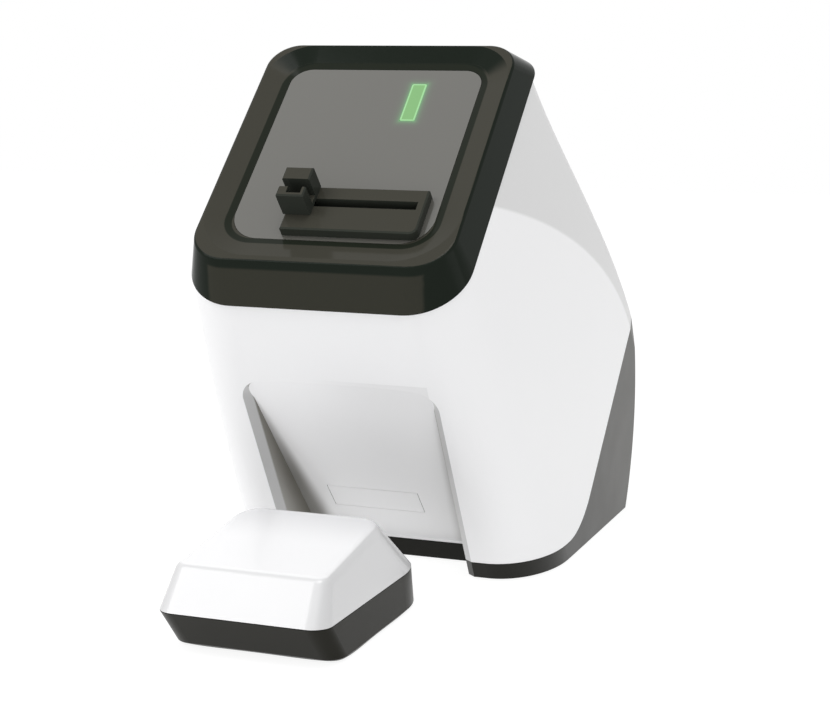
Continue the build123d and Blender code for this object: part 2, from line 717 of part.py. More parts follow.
def base_strip_end(side):
    """Solid end of the base's side strip beside the bay, on one side of the middle."""
    inner = BAY_LIP_WIDTH / 2
    outer = inner + BAY_FOOT_RADIUS + WALL
    x = (inner, outer) if side > 0 else (-outer, -inner)
    rear = BAY_REAR_Y + BAY_LINER_THICK
    return world_box(x, (0, rear), (FOOT_HEIGHT, BASE_HEIGHT - SEAM_GAP)) & housing_solid()


def base_strip_cut():
    """Clears the base beside the bay and rounds the lower corner of its side strips."""
    inner = BAY_LIP_WIDTH / 2
    radius = BAY_FOOT_RADIUS
    start = (inner, FOOT_HEIGHT + radius)
    middle = (inner + radius * (1 - math.sqrt(0.5)), FOOT_HEIGHT + radius * (1 - math.sqrt(0.5)))
    end = (inner + radius, FOOT_HEIGHT)
    edges = [Line((0, BASE_HEIGHT), (inner, BASE_HEIGHT)), Line((inner, BASE_HEIGHT), start)]
    edges.append(ThreePointArc(start, middle, end))
    below = (inner + radius, -1)
    edges += [Line(end, below), Line(below, (0, -1)), Line((0, -1), (0, BASE_HEIGHT))]
    half = extrude(Plane(origin=(0, BAY_REAR_Y, 0), z_dir=(0, -1, 0)) * make_face(edges), amount=FAR)
    return mirrored(half)


def connector_recess(base):
    """Sunk frame in the rear wall that holds the connector plate."""
    low, high = RECESS_Z
    wall = RECESS_WALL
    deep = RECESS_FLOOR_Y - wall
    reach = RECESS_X + wall
    frame = world_box((-reach, reach), (deep, REAR_BULGE_Y), (low - wall, high + wall))
    base += frame & housing_solid(WALL / 2)
    base -= world_box((-RECESS_X, RECESS_X), (RECESS_FLOOR_Y, FAR), RECESS_Z)
    lip = RECESS_LEDGE
    return base - world_box((lip - RECESS_X, RECESS_X - lip), (deep - 1, FAR), (low + lip, high - lip))


def rear_vents():
    """Row of upright slots that let warm air out of the rear wall."""
    slots = []
    for i in range(VENT_COUNT):
        x = (i - (VENT_COUNT - 1) / 2) * VENT_PITCH
        slots.append(world_box((x - VENT_WIDTH / 2, x + VENT_WIDTH / 2), (REAR_FOOT_Y, FAR), VENT_Z))
    return slots


def bezel_form(inset, top, foot):
    """Outer form of the bezel between two depths, drawn in by an inset."""
    faces = []
    for depth in (top, foot):
        share = (depth + BEZEL_RISE) / (BEZEL_DEPTH + BEZEL_RISE)
        width = BEZEL_FACE_WIDTH + (BEZEL_BACK_WIDTH - BEZEL_FACE_WIDTH) * share - 2 * inset
        low = BEZEL_FACE_LOW + (BEZEL_BACK_LOW - BEZEL_FACE_LOW) * share + inset
        high = BEZEL_FACE_HIGH + (BEZEL_BACK_HIGH - BEZEL_FACE_HIGH) * share - inset
        foot_radius = BEZEL_FACE_FOOT_RADIUS + (BEZEL_BACK_FOOT_RADIUS - BEZEL_FACE_FOOT_RADIUS) * share
        top_radius = BEZEL_FACE_TOP_RADIUS + (BEZEL_BACK_TOP_RADIUS - BEZEL_FACE_TOP_RADIUS) * share
        faces.append(round_rect(width, low, high, foot_radius - inset, top_radius - inset, depth))
    return loft(faces, ruled=True)


def window_face(margin, depth):
    """Outline of the window grown by a margin."""
    foot = WINDOW_FOOT_RADIUS + margin
    top = WINDOW_TOP_RADIUS + margin
    return round_rect(WINDOW_WIDTH + 2 * margin, -margin, WINDOW_HEIGHT + margin, foot, top, depth)


def window_form(margin, depth):
    """Straight block with the window's outline grown by a margin."""
    return extrude(window_face(margin, depth[0]), amount=depth[0] - depth[1])


def bezel():
    """Deep frame round the window, hollow behind, with a collar that plugs into the shell."""
    back = BEZEL_DEPTH - SEAM_GAP
    body = bezel_form(0.0, -BEZEL_RISE, back)
    front = body.faces().sort_by(Axis(origin=(0, 0, 0), direction=panel_plane().z_dir))[-1]
    body = fillet(front.edges(), BEZEL_EDGE_RADIUS)
    rim_foot = window_face(RIM_INNER, -RIM_EDGE_RISE)
    body -= loft([window_face(RIM_OUTER, -BEZEL_RISE - OVERLAP), rim_foot], ruled=True)
    rim_edge = window_face(RIM_INNER, -RIM_EDGE_RISE - OVERLAP)
    body -= loft([rim_edge, window_face(SEAT_GAP, OVERLAP)], ruled=True)
    body -= window_form(SEAT_GAP, (-OVERLAP, WINDOW_THICK))
    body -= window_form(-LEDGE_WIDTH, (-OVERLAP, FAR))
    land = window_form(SEAT_GAP + BEZEL_WALL, (-20, WINDOW_THICK + LEDGE_THICK))
    hollow = bezel_form(BEZEL_WALL, WINDOW_THICK / 2, back + 5)
    return body - (hollow - land) + bezel_collar()


def bezel_collar():
    """Thin collar behind the bezel that fits inside the shell's front edge."""
    inset = WALL + SEAT_GAP
    depth = BEZEL_DEPTH + COLLAR_REACH
    outside = extrude(housing_outline(BEZEL_DEPTH, inset), amount=COLLAR_REACH, both=True)
    opening = housing_outline(BEZEL_DEPTH, inset + COLLAR_THICK)
    inside = extrude(opening, amount=COLLAR_REACH + 1, both=True)
    return (outside - inside) & panel_box((-FAR, FAR), (-FAR, FAR), (BEZEL_DEPTH - COLLAR_REACH, depth))


def window_panel():
    """Dark glass panel with the holes for the slot and the status light."""
    panel = window_form(0.0, (0, WINDOW_THICK))
    panel -= panel_box((SLOT_LEFT, SLOT_RIGHT), (SLOT_LOW, SLOT_HIGH), (-1, WINDOW_THICK + 1))
    x = (LIGHT_X[0] - RUN_FIT, LIGHT_X[1] + RUN_FIT)
    up = (LIGHT_UP[0] - RUN_FIT, LIGHT_UP[1] + RUN_FIT)
    return panel - panel_box(x, up, (-1, WINDOW_THICK + 1))


def status_light():
    """Clear green bar that fills its hole in the window."""
    thick = WINDOW_THICK + LIGHT_PROUD
    bar = panel_box(LIGHT_X, LIGHT_UP, (-LIGHT_PROUD, WINDOW_THICK))
    return fillet(bar.edges().filter_by(lambda edge: abs(edge.length - thick) < 0.01), LIGHT_RADIUS)


def status_led_board():
    """Small circuit board with the lamps that shine into the status light."""
    board = panel_box(LED_BOARD_X, LED_BOARD_UP, LED_BOARD_DEPTH)
    x = (LIGHT_X[0] + LIGHT_X[1]) / 2
    half = LED_SIZE / 2
    pitch = (LIGHT_UP[1] - LIGHT_UP[0]) / LED_COUNT
    for i in range(LED_COUNT):
        up = LIGHT_UP[0] + pitch * (i + 0.5)
        lamp_depth = (WINDOW_THICK, LED_BOARD_DEPTH[0])
        board += panel_box((x - half, x + half), (up - half, up + half), lamp_depth)
    return board


def slot_platform():
    """Raised glossy block round the plate slot."""
    block = panel_box((PLATFORM_LEFT, PLATFORM_RIGHT), (PLATFORM_LOW, PLATFORM_HIGH), (-PLATFORM_RISE, 0))
    near = panel_point(PLATFORM_RIGHT, PLATFORM_LOW, -PLATFORM_RISE / 2)
    block = fillet(block.edges().sort_by_distance(near)[0:1], PLATFORM_CORNER)
    front = block.faces().sort_by(Axis(origin=(0, 0, 0), direction=panel_plane().z_dir))[-1]
    block = chamfer(front.edges(), PLATFORM_BEVEL)
    return block - panel_box((SLOT_LEFT, SLOT_RIGHT), (SLOT_LOW, SLOT_HIGH), (-FAR, FAR))


def plate_guide():
    """Sliding block with a groove that holds the left edge of a plate."""
    low = -PLATFORM_RISE - RUN_FIT
    top = -PLATFORM_RISE - GUIDE_RISE
    block = panel_box((GUIDE_LEFT, GUIDE_RIGHT), (GUIDE_LOW, GUIDE_HIGH), (top, low))
    front = block.faces().sort_by(Axis(origin=(0, 0, 0), direction=panel_plane().z_dir))[-1]
    block = chamfer(front.edges(), PLATFORM_BEVEL)
    groove_x = (GUIDE_LEFT - 1, GUIDE_RIGHT + 1)
    block -= panel_box(groove_x, (SLOT_LOW, SLOT_HIGH), (top - 1, low - GUIDE_WEB))
    step_x = (GUIDE_RIGHT - GUIDE_STEP_SET - GUIDE_STEP_WIDTH, GUIDE_RIGHT - GUIDE_STEP_SET)
    step_up = (GUIDE_LOW + GUIDE_STEP_LIP, SLOT_LOW + 1)
    block -= panel_box(step_x, step_up, (top - 1, top + GUIDE_STEP_RISE))
    half = NECK_WIDTH / 2
    neck_depth = (low - OVERLAP, FOOT_PLATE_DEPTH[0])
    neck = panel_box((NECK_LEFT, NECK_RIGHT), (SLOT_UP - half, SLOT_UP + half), neck_depth)
    return block + neck


def guide_foot():
    """Sliding foot under the window that keeps the plate guide on its rails."""
    half = FOOT_PLATE_WIDTH / 2
    x = (FOOT_PLATE_LEFT, FOOT_PLATE_RIGHT)
    return panel_box(x, (SLOT_UP - half, SLOT_UP + half), FOOT_PLATE_DEPTH)


def guide_rail():
    """Channel under the window in which the guide's foot slides."""
    half = RAIL_OUTSIDE / 2
    rail = panel_box(RAIL_ENDS, (SLOT_UP - half, SLOT_UP + half), RAIL_DEPTH)
    half = RAIL_INSIDE / 2
    rail -= panel_box((-FAR, FAR), (SLOT_UP - half, SLOT_UP + half), (0, RAIL_FLOOR))
    half = RAIL_SLOT / 2
    return rail - panel_box((-FAR, FAR), (SLOT_UP - half, SLOT_UP + half), (0, FAR))


def entry_guide():
    """Funnel that leads a plate from the slot to the seals, on two short legs."""
    body = panel_box(ENTRY_X, ENTRY_UP, ENTRY_DEPTH)
    for x in (ENTRY_X[0], ENTRY_X[1] - ENTRY_LEG):
        body += panel_box((x, x + ENTRY_LEG), ENTRY_UP, (ENTRY_DEPTH[0], UPPER_PLATE_DEPTH[0]))
    faces = []
    for depth, half in ((ENTRY_DEPTH[0] - 0.1, ENTRY_MOUTH / 2), (ENTRY_DEPTH[1] + 0.1, ENTRY_THROAT / 2)):
        centre = Pos((BED_X[0] + BED_X[1]) / 2, SLOT_UP)
        faces.append(panel_plane(depth) * centre * Rectangle(BED_X[1] - BED_X[0], 2 * half))
    return body - loft(faces, ruled=True)


def light_seals():
    """Pair of brush strips that close the slot against light."""
    gap = SEAL_GAP / 2
    upper = panel_box(SEAL_X, (SLOT_UP + gap, SLOT_UP + gap + SEAL_WIDTH), SEAL_DEPTH)
    lower = panel_box(SEAL_X, (SLOT_UP - gap - SEAL_WIDTH, SLOT_UP - gap), SEAL_DEPTH)
    return upper + lower


def end_plate(depth, opening_up):
    """Cross plate of the frame with holes for the rods, the screw bearing and the plate."""
    plate = panel_box((FRAME_LEFT, FRAME_RIGHT), END_PLATE_UP, depth)
    for x in ROD_X:
        plate -= panel_rod(x, ROD_UP, ROD_RADIUS + RUN_FIT, (0, FAR))
    plate -= panel_rod(SCREW_X, ROD_UP, BEARING_RADIUS + RUN_FIT, (0, FAR))
    return plate - panel_box((BED_X[0] - 1, BED_X[1] + 1), opening_up, (0, FAR))


def upper_end_plate():
    """Cross plate below the light seals."""
    return end_plate(UPPER_PLATE_DEPTH, (BED_TOP - BED_THICK, BED_TOP + BED_EDGE_HEIGHT + 1))


def lower_end_plate():
    """Cross plate above the exit chute."""
    return end_plate(LOWER_PLATE_DEPTH, (BED_TOP - BED_THICK, FINGER_TOP + 2))


def side_plate(x, flange_x):
    """Upright sheet beside the plate path, with its leg and its foot flange."""
    points = [side_point(up, depth) for up, depth in SIDE_TOP + SIDE_REAR]
    points += SIDE_LEG
    plate = side_slab(points, x)
    plate -= side_slab([side_point(up, depth) for up, depth in SIDE_HOLE], (x[0] - 1, x[1] + 1))
    y = (SIDE_LEG[2][0], SIDE_LEG[0][0])
    flange = world_box(flange_x, y, (FLANGE_Z, FLANGE_Z + SHEET))
    plate += flange
    for fx, fy in flange_screw_places():
        plate -= post(fx, fy, SHANK_BORE + 0.1, (FLANGE_Z - 1, FLANGE_Z + SHEET + 1))
    return plate


def flange_screw_places():
    """X and Y of the screws that hold the frame's flanges to the floor bosses."""
    left = FRAME_LEFT - SHEET - FLANGE_SCREW_INSET
    right = FRAME_RIGHT + SHEET + FLANGE_SCREW_INSET
    front = SIDE_LEG[2][0] + FLANGE_SCREW_END
    rear = SIDE_LEG[0][0] - FLANGE_SCREW_END
    return [(left, front), (left, rear), (right, front), (right, rear)]


def left_side_plate():
    """Frame side next to the lead screw."""
    outer = FRAME_LEFT - SHEET
    return side_plate((outer, FRAME_LEFT), (outer - FLANGE_WIDTH, FRAME_LEFT))


def right_side_plate():
    """Frame side away from the lead screw."""
    outer = FRAME_RIGHT + SHEET
    return side_plate((FRAME_RIGHT, outer), (FRAME_RIGHT, outer + FLANGE_WIDTH))


def pan_screw(x, y, seat_z, tip_z):
    """Screw with its head on top of the seat and its tip below."""
    head = post(x, y, HEAD_RADIUS, (seat_z, seat_z + HEAD_HEIGHT))
    return head + post(x, y, SHANK_RADIUS, (tip_z, seat_z))


def frame_screws():
    """Four screws through the frame's flanges."""
    seat = FLANGE_Z + SHEET
    screws = [pan_screw(x, y, seat, FLOOR_TOP + 0.6) for x, y in flange_screw_places()]
    return Compound(children=screws)


def guide_rods():
    """Two ground rods that carry the carriage."""
    return Compound(children=[panel_rod(x, ROD_UP, ROD_RADIUS, ROD_DEPTH) for x in ROD_X])


def rod_clips():
    """Spring rings that keep the rods in the end plates."""
    rings = []
    for x in ROD_X:
        for outer in (UPPER_PLATE_DEPTH[0] - CLIP_THICK, LOWER_PLATE_DEPTH[1]):
            ring = panel_rod(x, ROD_UP, CLIP_RADIUS, (outer, outer + CLIP_THICK))
            ring -= panel_rod(x, ROD_UP, ROD_RADIUS + RUN_FIT, (0, FAR))
            rings.append(ring)
    return Compound(children=rings)


def lead_screw():
    """Screw that drives the carriage."""
    rod = panel_rod(SCREW_X, ROD_UP, SCREW_RADIUS, SCREW_DEPTH)
    return chamfer(rod.edges().filter_by(GeomType.CIRCLE), SCREW_TIP)


def screw_bearings():
    """Bushes in the end plates that carry the lead screw."""
    bushes = []
    for depth in (UPPER_PLATE_DEPTH, LOWER_PLATE_DEPTH):
        middle = (depth[0] + depth[1]) / 2
        span = (middle - BEARING_LENGTH / 2, middle + BEARING_LENGTH / 2)
        bush = panel_rod(SCREW_X, ROD_UP, BEARING_RADIUS, span)
        bushes.append(bush - panel_rod(SCREW_X, ROD_UP, SCREW_RADIUS + RUN_FIT, (0, FAR)))
    return Compound(children=bushes)


def carriage_nut():
    """Flanged nut on the lead screw, seated in the carriage."""
    top, foot = CARRIAGE_DEPTH
    nut = panel_rod(SCREW_X, ROD_UP, NUT_RADIUS, (top, foot))
    nut += panel_rod(SCREW_X, ROD_UP, NUT_FLANGE_RADIUS, (top - NUT_FLANGE_THICK, top))
    return nut - panel_rod(SCREW_X, ROD_UP, SCREW_RADIUS + RUN_FIT, (0, FAR))


def carriage_bushes():
    """Plain bushes that run on the guide rods."""
    bushes = []
    for x in ROD_X:
        bush = panel_rod(x, ROD_UP, BUSH_RADIUS, CARRIAGE_DEPTH)
        bushes.append(bush - panel_rod(x, ROD_UP, ROD_RADIUS + RUN_FIT, (0, FAR)))
    return Compound(children=bushes)


def finger_places():
    """X of the two push fingers."""
    return (TRACK_X - FINGER_SPREAD, TRACK_X + FINGER_SPREAD)


def carriage():
    """Cross bar that pushes a plate down the bed with two fingers."""
    bar = panel_box(CARRIAGE_X, CARRIAGE_UP, CARRIAGE_DEPTH)
    for x in ROD_X:
        bar -= panel_rod(x, ROD_UP, BUSH_RADIUS + RUN_FIT, (0, FAR))
    bar -= panel_rod(SCREW_X, ROD_UP, NUT_RADIUS + RUN_FIT, (0, FAR))
    foot = CARRIAGE_DEPTH[1]
    for x in finger_places():
        width = (x - FINGER_WIDTH / 2, x + FINGER_WIDTH / 2)
        bar += panel_box(width, (CARRIAGE_UP[1] - 1, FINGER_TOP), (foot - FINGER_THICK, foot))
    return bar


def plate_bed():
    """Sheet that the plate slides down, with turned-up edges and slots for the fingers."""
    depth = (UPPER_PLATE_DEPTH[1], LOWER_PLATE_DEPTH[0])
    bed = panel_box(BED_X, (BED_TOP - BED_THICK, BED_TOP), depth)
    for x in (BED_X[0], BED_X[1] - BED_EDGE_THICK):
        bed += panel_box((x, x + BED_EDGE_THICK), (BED_TOP - 0.5, BED_TOP + BED_EDGE_HEIGHT), depth)
    run = (CARRIAGE_DEPTH[0] + 4, CARRIAGE_DEPTH[1] + CARRIAGE_TRAVEL + 1)
    for x in finger_places():
        bed -= panel_box((x - FINGER_SLOT / 2, x + FINGER_SLOT / 2), (0, BED_TOP + 1), run)
    return bed


def motor_bracket():
    """Angle plate that hangs the carriage motor from the left side plate."""
    plate = panel_box(BRACKET_X, BRACKET_UP, BRACKET_DEPTH)
    flange_depth = (BRACKET_DEPTH[0], BRACKET_DEPTH[1] + BRACKET_FLANGE)
    plate += panel_box((BRACKET_X[0], BRACKET_X[0] + SHEET), BRACKET_UP, flange_depth)
    return plate - panel_rod(SCREW_X, ROD_UP, MOTOR_BOSS_RADIUS + RUN_FIT, (0, BRACKET_DEPTH[1]))


def stepper_motor():
    """Square stepping motor with its locating boss and a bore for its shaft."""
    half = MOTOR_SIZE / 2
    body = panel_box((SCREW_X - half, SCREW_X + half), (ROD_UP - half, ROD_UP + half), MOTOR_DEPTH)
    length = MOTOR_DEPTH[1] - MOTOR_DEPTH[0]
    body = chamfer(body.edges().filter_by(lambda e: abs(e.length - length) < 0.01), MOTOR_CORNER_CUT)
    boss = (MOTOR_DEPTH[0] - MOTOR_BOSS_HEIGHT, MOTOR_DEPTH[0])
    body += panel_rod(SCREW_X, ROD_UP, MOTOR_BOSS_RADIUS, boss)
    bore = (0, MOTOR_SHAFT_DEPTH[1] + 0.5)
    return body - panel_rod(SCREW_X, ROD_UP, MOTOR_SHAFT_RADIUS + RUN_FIT, bore)


def motor_shaft():
    """Shaft of the stepping motor."""
    return panel_rod(SCREW_X, ROD_UP, MOTOR_SHAFT_RADIUS, MOTOR_SHAFT_DEPTH)


def motor_coupler():
    """Sleeve that joins the motor shaft to the lead screw."""
    sleeve = panel_rod(SCREW_X, ROD_UP, COUPLER_RADIUS, COUPLER_DEPTH)
    middle = (SCREW_DEPTH[1] + MOTOR_SHAFT_DEPTH[0]) / 2
    sleeve -= panel_rod(SCREW_X, ROD_UP, SCREW_RADIUS + RUN_FIT / 2, (0, middle))
    return sleeve - panel_rod(SCREW_X, ROD_UP, MOTOR_SHAFT_RADIUS + RUN_FIT / 2, (middle - 1, FAR))


def home_sensor():
    """Forked light sensor on the left side plate."""
    body = panel_box(SENSOR_X, SENSOR_UP, SENSOR_DEPTH)
    middle = (SENSOR_UP[0] + SENSOR_UP[1]) / 2
    gap = (middle - SENSOR_SLOT / 2, middle + SENSOR_SLOT / 2)
    return body - panel_box((SENSOR_X[0] + SHEET, FAR), gap, (0, FAR))


def optics_bench():
    """Flat plate across the frame that carries the laser, mirror and lens."""
    bench = panel_box((FRAME_LEFT, FRAME_RIGHT), BENCH_UP, BENCH_DEPTH)
    for x in ((FRAME_LEFT, FRAME_LEFT + SHEET), (FRAME_RIGHT - SHEET, FRAME_RIGHT)):
        bench += panel_box(x, BENCH_FLANGE_UP, (BENCH_DEPTH[1], BENCH_DEPTH[1] + BENCH_FLANGE))
    return bench


def laser_mount():
    """Clamp block that holds the laser module on the bench."""
    up = (LASER_UP - LASER_MOUNT_HALF, LASER_UP + LASER_MOUNT_HALF)
    block = panel_box(LASER_MOUNT_X, up, (LASER_MOUNT_TOP, BENCH_DEPTH[0]))
    return block - cross_rod((-FAR, FAR), LASER_UP, LASER_DEPTH, LASER_RADIUS + RUN_FIT)


def laser_module():
    """Round laser tube with its aperture toward the mirror."""
    tube = cross_rod(LASER_X, LASER_UP, LASER_DEPTH, LASER_RADIUS)
    return tube - cross_rod((LASER_X[1] - 1.5, FAR), LASER_UP, LASER_DEPTH, LASER_RADIUS / 2)


def laser_board():
    """Driver board soldered to the back of the laser."""
    half = LASER_BOARD_SIZE / 2
    x = (LASER_X[0] - LASER_BOARD_THICK, LASER_X[0])
    return panel_box(x, (LASER_UP - half, LASER_UP + half), (LASER_DEPTH - half, LASER_DEPTH + half))


def polygon_mirror():
    """Spinning mirror that sweeps the laser across the plate."""
    depth = MIRROR_DEPTH
    place = panel_plane(depth[1]).location * Pos(MIRROR_X, MIRROR_UP)
    ring = RegularPolygon(MIRROR_INRADIUS, MIRROR_SIDES, major_radius=False)
    body = extrude(place * ring, amount=depth[1] - depth[0])
    body += panel_rod(MIRROR_X, MIRROR_UP, MIRROR_HUB_RADIUS, (MIRROR_HUB_TOP, depth[1]))
    return body - panel_rod(MIRROR_X, MIRROR_UP, SPINDLE_RADIUS + RUN_FIT, (0, FAR))


def mirror_motor():
    """Flat motor with the fixed spindle that the mirror spins on."""
    body = panel_rod(MIRROR_X, MIRROR_UP, MIRROR_MOTOR_RADIUS, MIRROR_MOTOR_DEPTH)
    spindle = (SPINDLE_TOP, MIRROR_MOTOR_DEPTH[0] + 1)
    return body + panel_rod(MIRROR_X, MIRROR_UP, SPINDLE_RADIUS, spindle)


def scan_lens():
    """Long lens with one crowned side that focuses the sweep on the plate."""
    middle = (LENS_X[0] + LENS_X[1]) / 2
    half = (LENS_X[1] - LENS_X[0]) / 2
    low, high = LENS_UP
    left = (middle - half, high)
    right = (middle + half, high)
    edges = [Line((middle - half, low), (middle + half, low)), Line((middle + half, low), right)]
    edges.append(ThreePointArc(right, (middle, high + LENS_CROWN), left))
    edges.append(Line(left, (middle - half, low)))
    return extrude(panel_plane(LENS_DEPTH[1]) * make_face(edges), amount=LENS_DEPTH[1] - LENS_DEPTH[0])


def lens_clamps():
    """Two bent clips that hold the lens ends down on the bench."""
    clips = []
    left = (LENS_X[0] - CLAMP_THICK, LENS_X[0] + CLAMP_LENGTH)
    right = (LENS_X[1] - CLAMP_LENGTH, LENS_X[1] + CLAMP_THICK)
    up = (LENS_UP[0] - CLAMP_THICK, LENS_UP[0] + CLAMP_LENGTH / 2)
    for x in (left, right):
        outer = panel_box(x, up, (LENS_DEPTH[0] - CLAMP_THICK, BENCH_DEPTH[0]))
        clips.append(outer - panel_box(LENS_X, (LENS_UP[0], FAR), (LENS_DEPTH[0], FAR)))
    return Compound(children=clips)


def light_guide():
    """Funnel of clear plastic that gathers the plate's glow into the detector."""
    depth = (PICKUP_DEPTH[0] + PICKUP_DEPTH[1]) / 2
    thick = PICKUP_DEPTH[1] - PICKUP_DEPTH[0]
    pickup = rise_plane(TRACK_X, PICKUP_UP, depth) * Rectangle(PICKUP_WIDTH, thick)
    end = rise_plane(TRACK_X, GUIDE_END_UP, DETECTOR_DEPTH) * Rectangle(GUIDE_END_SIZE, GUIDE_END_SIZE)
    funnel = loft([pickup, end], ruled=True)
    neck = (GUIDE_END_UP, DETECTOR_SHELF_UP[1])
    return funnel + rise_rod(TRACK_X, DETECTOR_DEPTH, GUIDE_END_SIZE / 2, neck)


def detector_tube():
    """Light detector tube standing on its shelf."""
    up = (DETECTOR_SHELF_UP[1], DETECTOR_TOP)
    return rise_rod(TRACK_X, DETECTOR_DEPTH, DETECTOR_RADIUS, up)


def detector_shield():
    """Closed metal can round the detector tube."""
    base = DETECTOR_SHELF_UP[1]
    can = rise_rod(TRACK_X, DETECTOR_DEPTH, SHIELD_RADIUS, (base, SHIELD_TOP))
    return can - rise_rod(TRACK_X, DETECTOR_DEPTH, SHIELD_BORE, (base - 1, SHIELD_TOP - 1.5))


def detector_shelf():
    """Shelf across the frame that carries the detector."""
    shelf = panel_box((FRAME_LEFT, FRAME_RIGHT), DETECTOR_SHELF_UP, DETECTOR_SHELF_DEPTH)
    half = GUIDE_END_SIZE / 2 + 1
    x = (TRACK_X - half, TRACK_X + half)
    return shelf - panel_box(x, (0, FAR), (DETECTOR_DEPTH - half, DETECTOR_DEPTH + half))


def eraser_board():
    """Lamp board that clears a plate after it has been read."""
    board = panel_box(ERASER_X, ERASER_UP, ERASER_DEPTH)
    half = ERASER_LED / 2
    pitch = (ERASER_X[1] - ERASER_X[0]) / ERASER_COLUMNS
    for i in range(ERASER_COLUMNS):
        x = ERASER_X[0] + pitch * (i + 0.5)
        for depth in (ERASER_DEPTH[0] + pitch / 2, ERASER_DEPTH[1] - pitch / 2):
            up = (ERASER_UP[0] - ERASER_LED_HEIGHT, ERASER_UP[0])
            board += panel_box((x - half, x + half), up, (depth - half, depth + half))
    return board


def eraser_strip():
    """Metal strip across the frame that the lamp board hangs from."""
    return panel_box((FRAME_LEFT, FRAME_RIGHT), (ERASER_UP[1], ERASER_UP[1] + SHEET), ERASER_STRIP_DEPTH)


def chute_form(wall):
    """Skewed funnel from the bed's lower end to the bay roof, grown by a wall."""
    top = LOWER_PLATE_DEPTH[1]
    foot = BAY_ROOF + BAY_LINER_THICK + SEAT_GAP
    low, high = CHUTE_TOP_UP[0] - wall, CHUTE_TOP_UP[1] + wall
    near, deep = CHUTE_FOOT_DEPTH[0] - wall, CHUTE_FOOT_DEPTH[1] + wall
    side = [(low, top), (high, top), (foot, deep), (foot, near)]
    slab = side_slab([side_point(up, depth) for up, depth in side], (-FAR, FAR))
    x0, x1 = CHUTE_TOP_X[0] - wall, CHUTE_TOP_X[1] + wall
    foot_x0, foot_x1 = CHUTE_FOOT_X[0] - wall, CHUTE_FOOT_X[1] + wall
    plan = [(x0, high), (x1, high), (x1, low), (foot_x1, foot), (foot_x0, foot), (x0, low)]
    face = panel_plane(FAR) * make_face(Polyline(*plan, close=True))
    return slab & extrude(face, amount=FAR)


def exit_chute():
    """Sloping funnel that drops a finished plate into the collector box."""
    return chute_form(CHUTE_WALL) - chute_form(0.0)


def main_board():
    """Upright circuit board behind the frame."""
    board = world_box(BOARD_X, (BOARD_Y, BOARD_Y + BOARD_THICK), BOARD_Z)
    for x, z in board_screw_places():
        board -= Pos(x, BOARD_Y, z) * Rot(90, 0, 0) * Cylinder(SHANK_BORE + 0.1, 8)
    return board


def board_chips():
    """Processor, power parts and plugs on the front of the main board."""
    chips = []
    for x, z, width, height, thick in CHIPS:
        across = (x - width / 2, x + width / 2)
        chips.append(world_box(across, (BOARD_Y - thick, BOARD_Y), (z - height / 2, z + height / 2)))
    for x, z, radius, length in CAPACITORS:
        chips.append(y_rod(x, z, radius, (BOARD_Y - length, BOARD_Y)))
    return Compound(children=chips)


def board_screw_places():
    """X and Z of the four board screws."""
    return [(x, z) for x in (-SPACER_X, SPACER_X) for z in SPACER_Z]


def y_rod(x, z, radius, y):
    """Round bar along Y between two values of y."""
    return Pos(x, (y[0] + y[1]) / 2, z) * Rot(90, 0, 0) * Cylinder(radius, y[1] - y[0])


def board_support():
    """Bent sheet with pressed-in spacers that stands on the floor and carries the main board."""
    front = BOARD_Y - SPACER_LENGTH - SHEET
    sheet = world_box(BOARD_X, (front, front + SHEET), (FLOOR_TOP, BOARD_Z[1]))
    rim = SPACER_X - SUPPORT_RIM
    window_z = (BOARD_Z[0] + SUPPORT_RIM_HEIGHT, BOARD_Z[1] - SUPPORT_RIM_HEIGHT)
    sheet -= world_box((-rim, rim), (0, FAR), window_z)
    sheet += world_box(BOARD_X, (front - SUPPORT_FOOT, front + 0.1), (FLOOR_TOP, FLOOR_TOP + SHEET))
    for x, z in board_screw_places():
        sheet += y_rod(x, z, SPACER_RADIUS, (front + SHEET / 2, BOARD_Y))
        sheet -= y_rod(x, z, SHANK_BORE + 0.1, (front - 1, BOARD_Y + 1))
    for x, y in support_screw_places():
        sheet -= post(x, y, SHANK_BORE + 0.1, (0, FLOOR_TOP + SHEET + 1))
    return sheet


def support_screw_places():
    """X and Y of the screws that hold the board support to the floor."""
    y = BOARD_Y - SPACER_LENGTH - SHEET - SUPPORT_FOOT / 2
    return [(-SUPPORT_SCREW_X, y), (SUPPORT_SCREW_X, y)]


def board_screws():
    """Screws through the board and its spacers, and those that hold the support down."""
    screws = []
    face = BOARD_Y + BOARD_THICK
    for x, z in board_screw_places():
        head = y_rod(x, z, HEAD_RADIUS, (face, face + HEAD_HEIGHT))
        screws.append(head + y_rod(x, z, SHANK_RADIUS, (BOARD_Y - SPACER_LENGTH - SHEET - 1, face)))
    for x, y in support_screw_places():
        screws.append(pan_screw(x, y, FLOOR_TOP + SHEET, FOOT_HEIGHT + 1.2))
    return Compound(children=screws)


def connector_plate():
    """Flat plate in the rear recess with a hole for each connector."""
    gap = SEAT_GAP
    low, high = RECESS_Z
    y = (RECESS_FLOOR_Y, RECESS_FLOOR_Y + CONNECTOR_PLATE_THICK)
    plate = world_box((gap - RECESS_X, RECESS_X - gap), y, (low + gap, high - gap))
    plate -= y_rod(INLET_X, INLET_Z, INLET_RADIUS + RUN_FIT, (0, FAR))
    x = (PORT_X[0] - gap, PORT_X[1] + gap)
    plate -= world_box(x, (0, FAR), (PORT_Z[0] - gap, PORT_Z[1] + gap))
    return plate - switch_block(gap, (0, FAR))


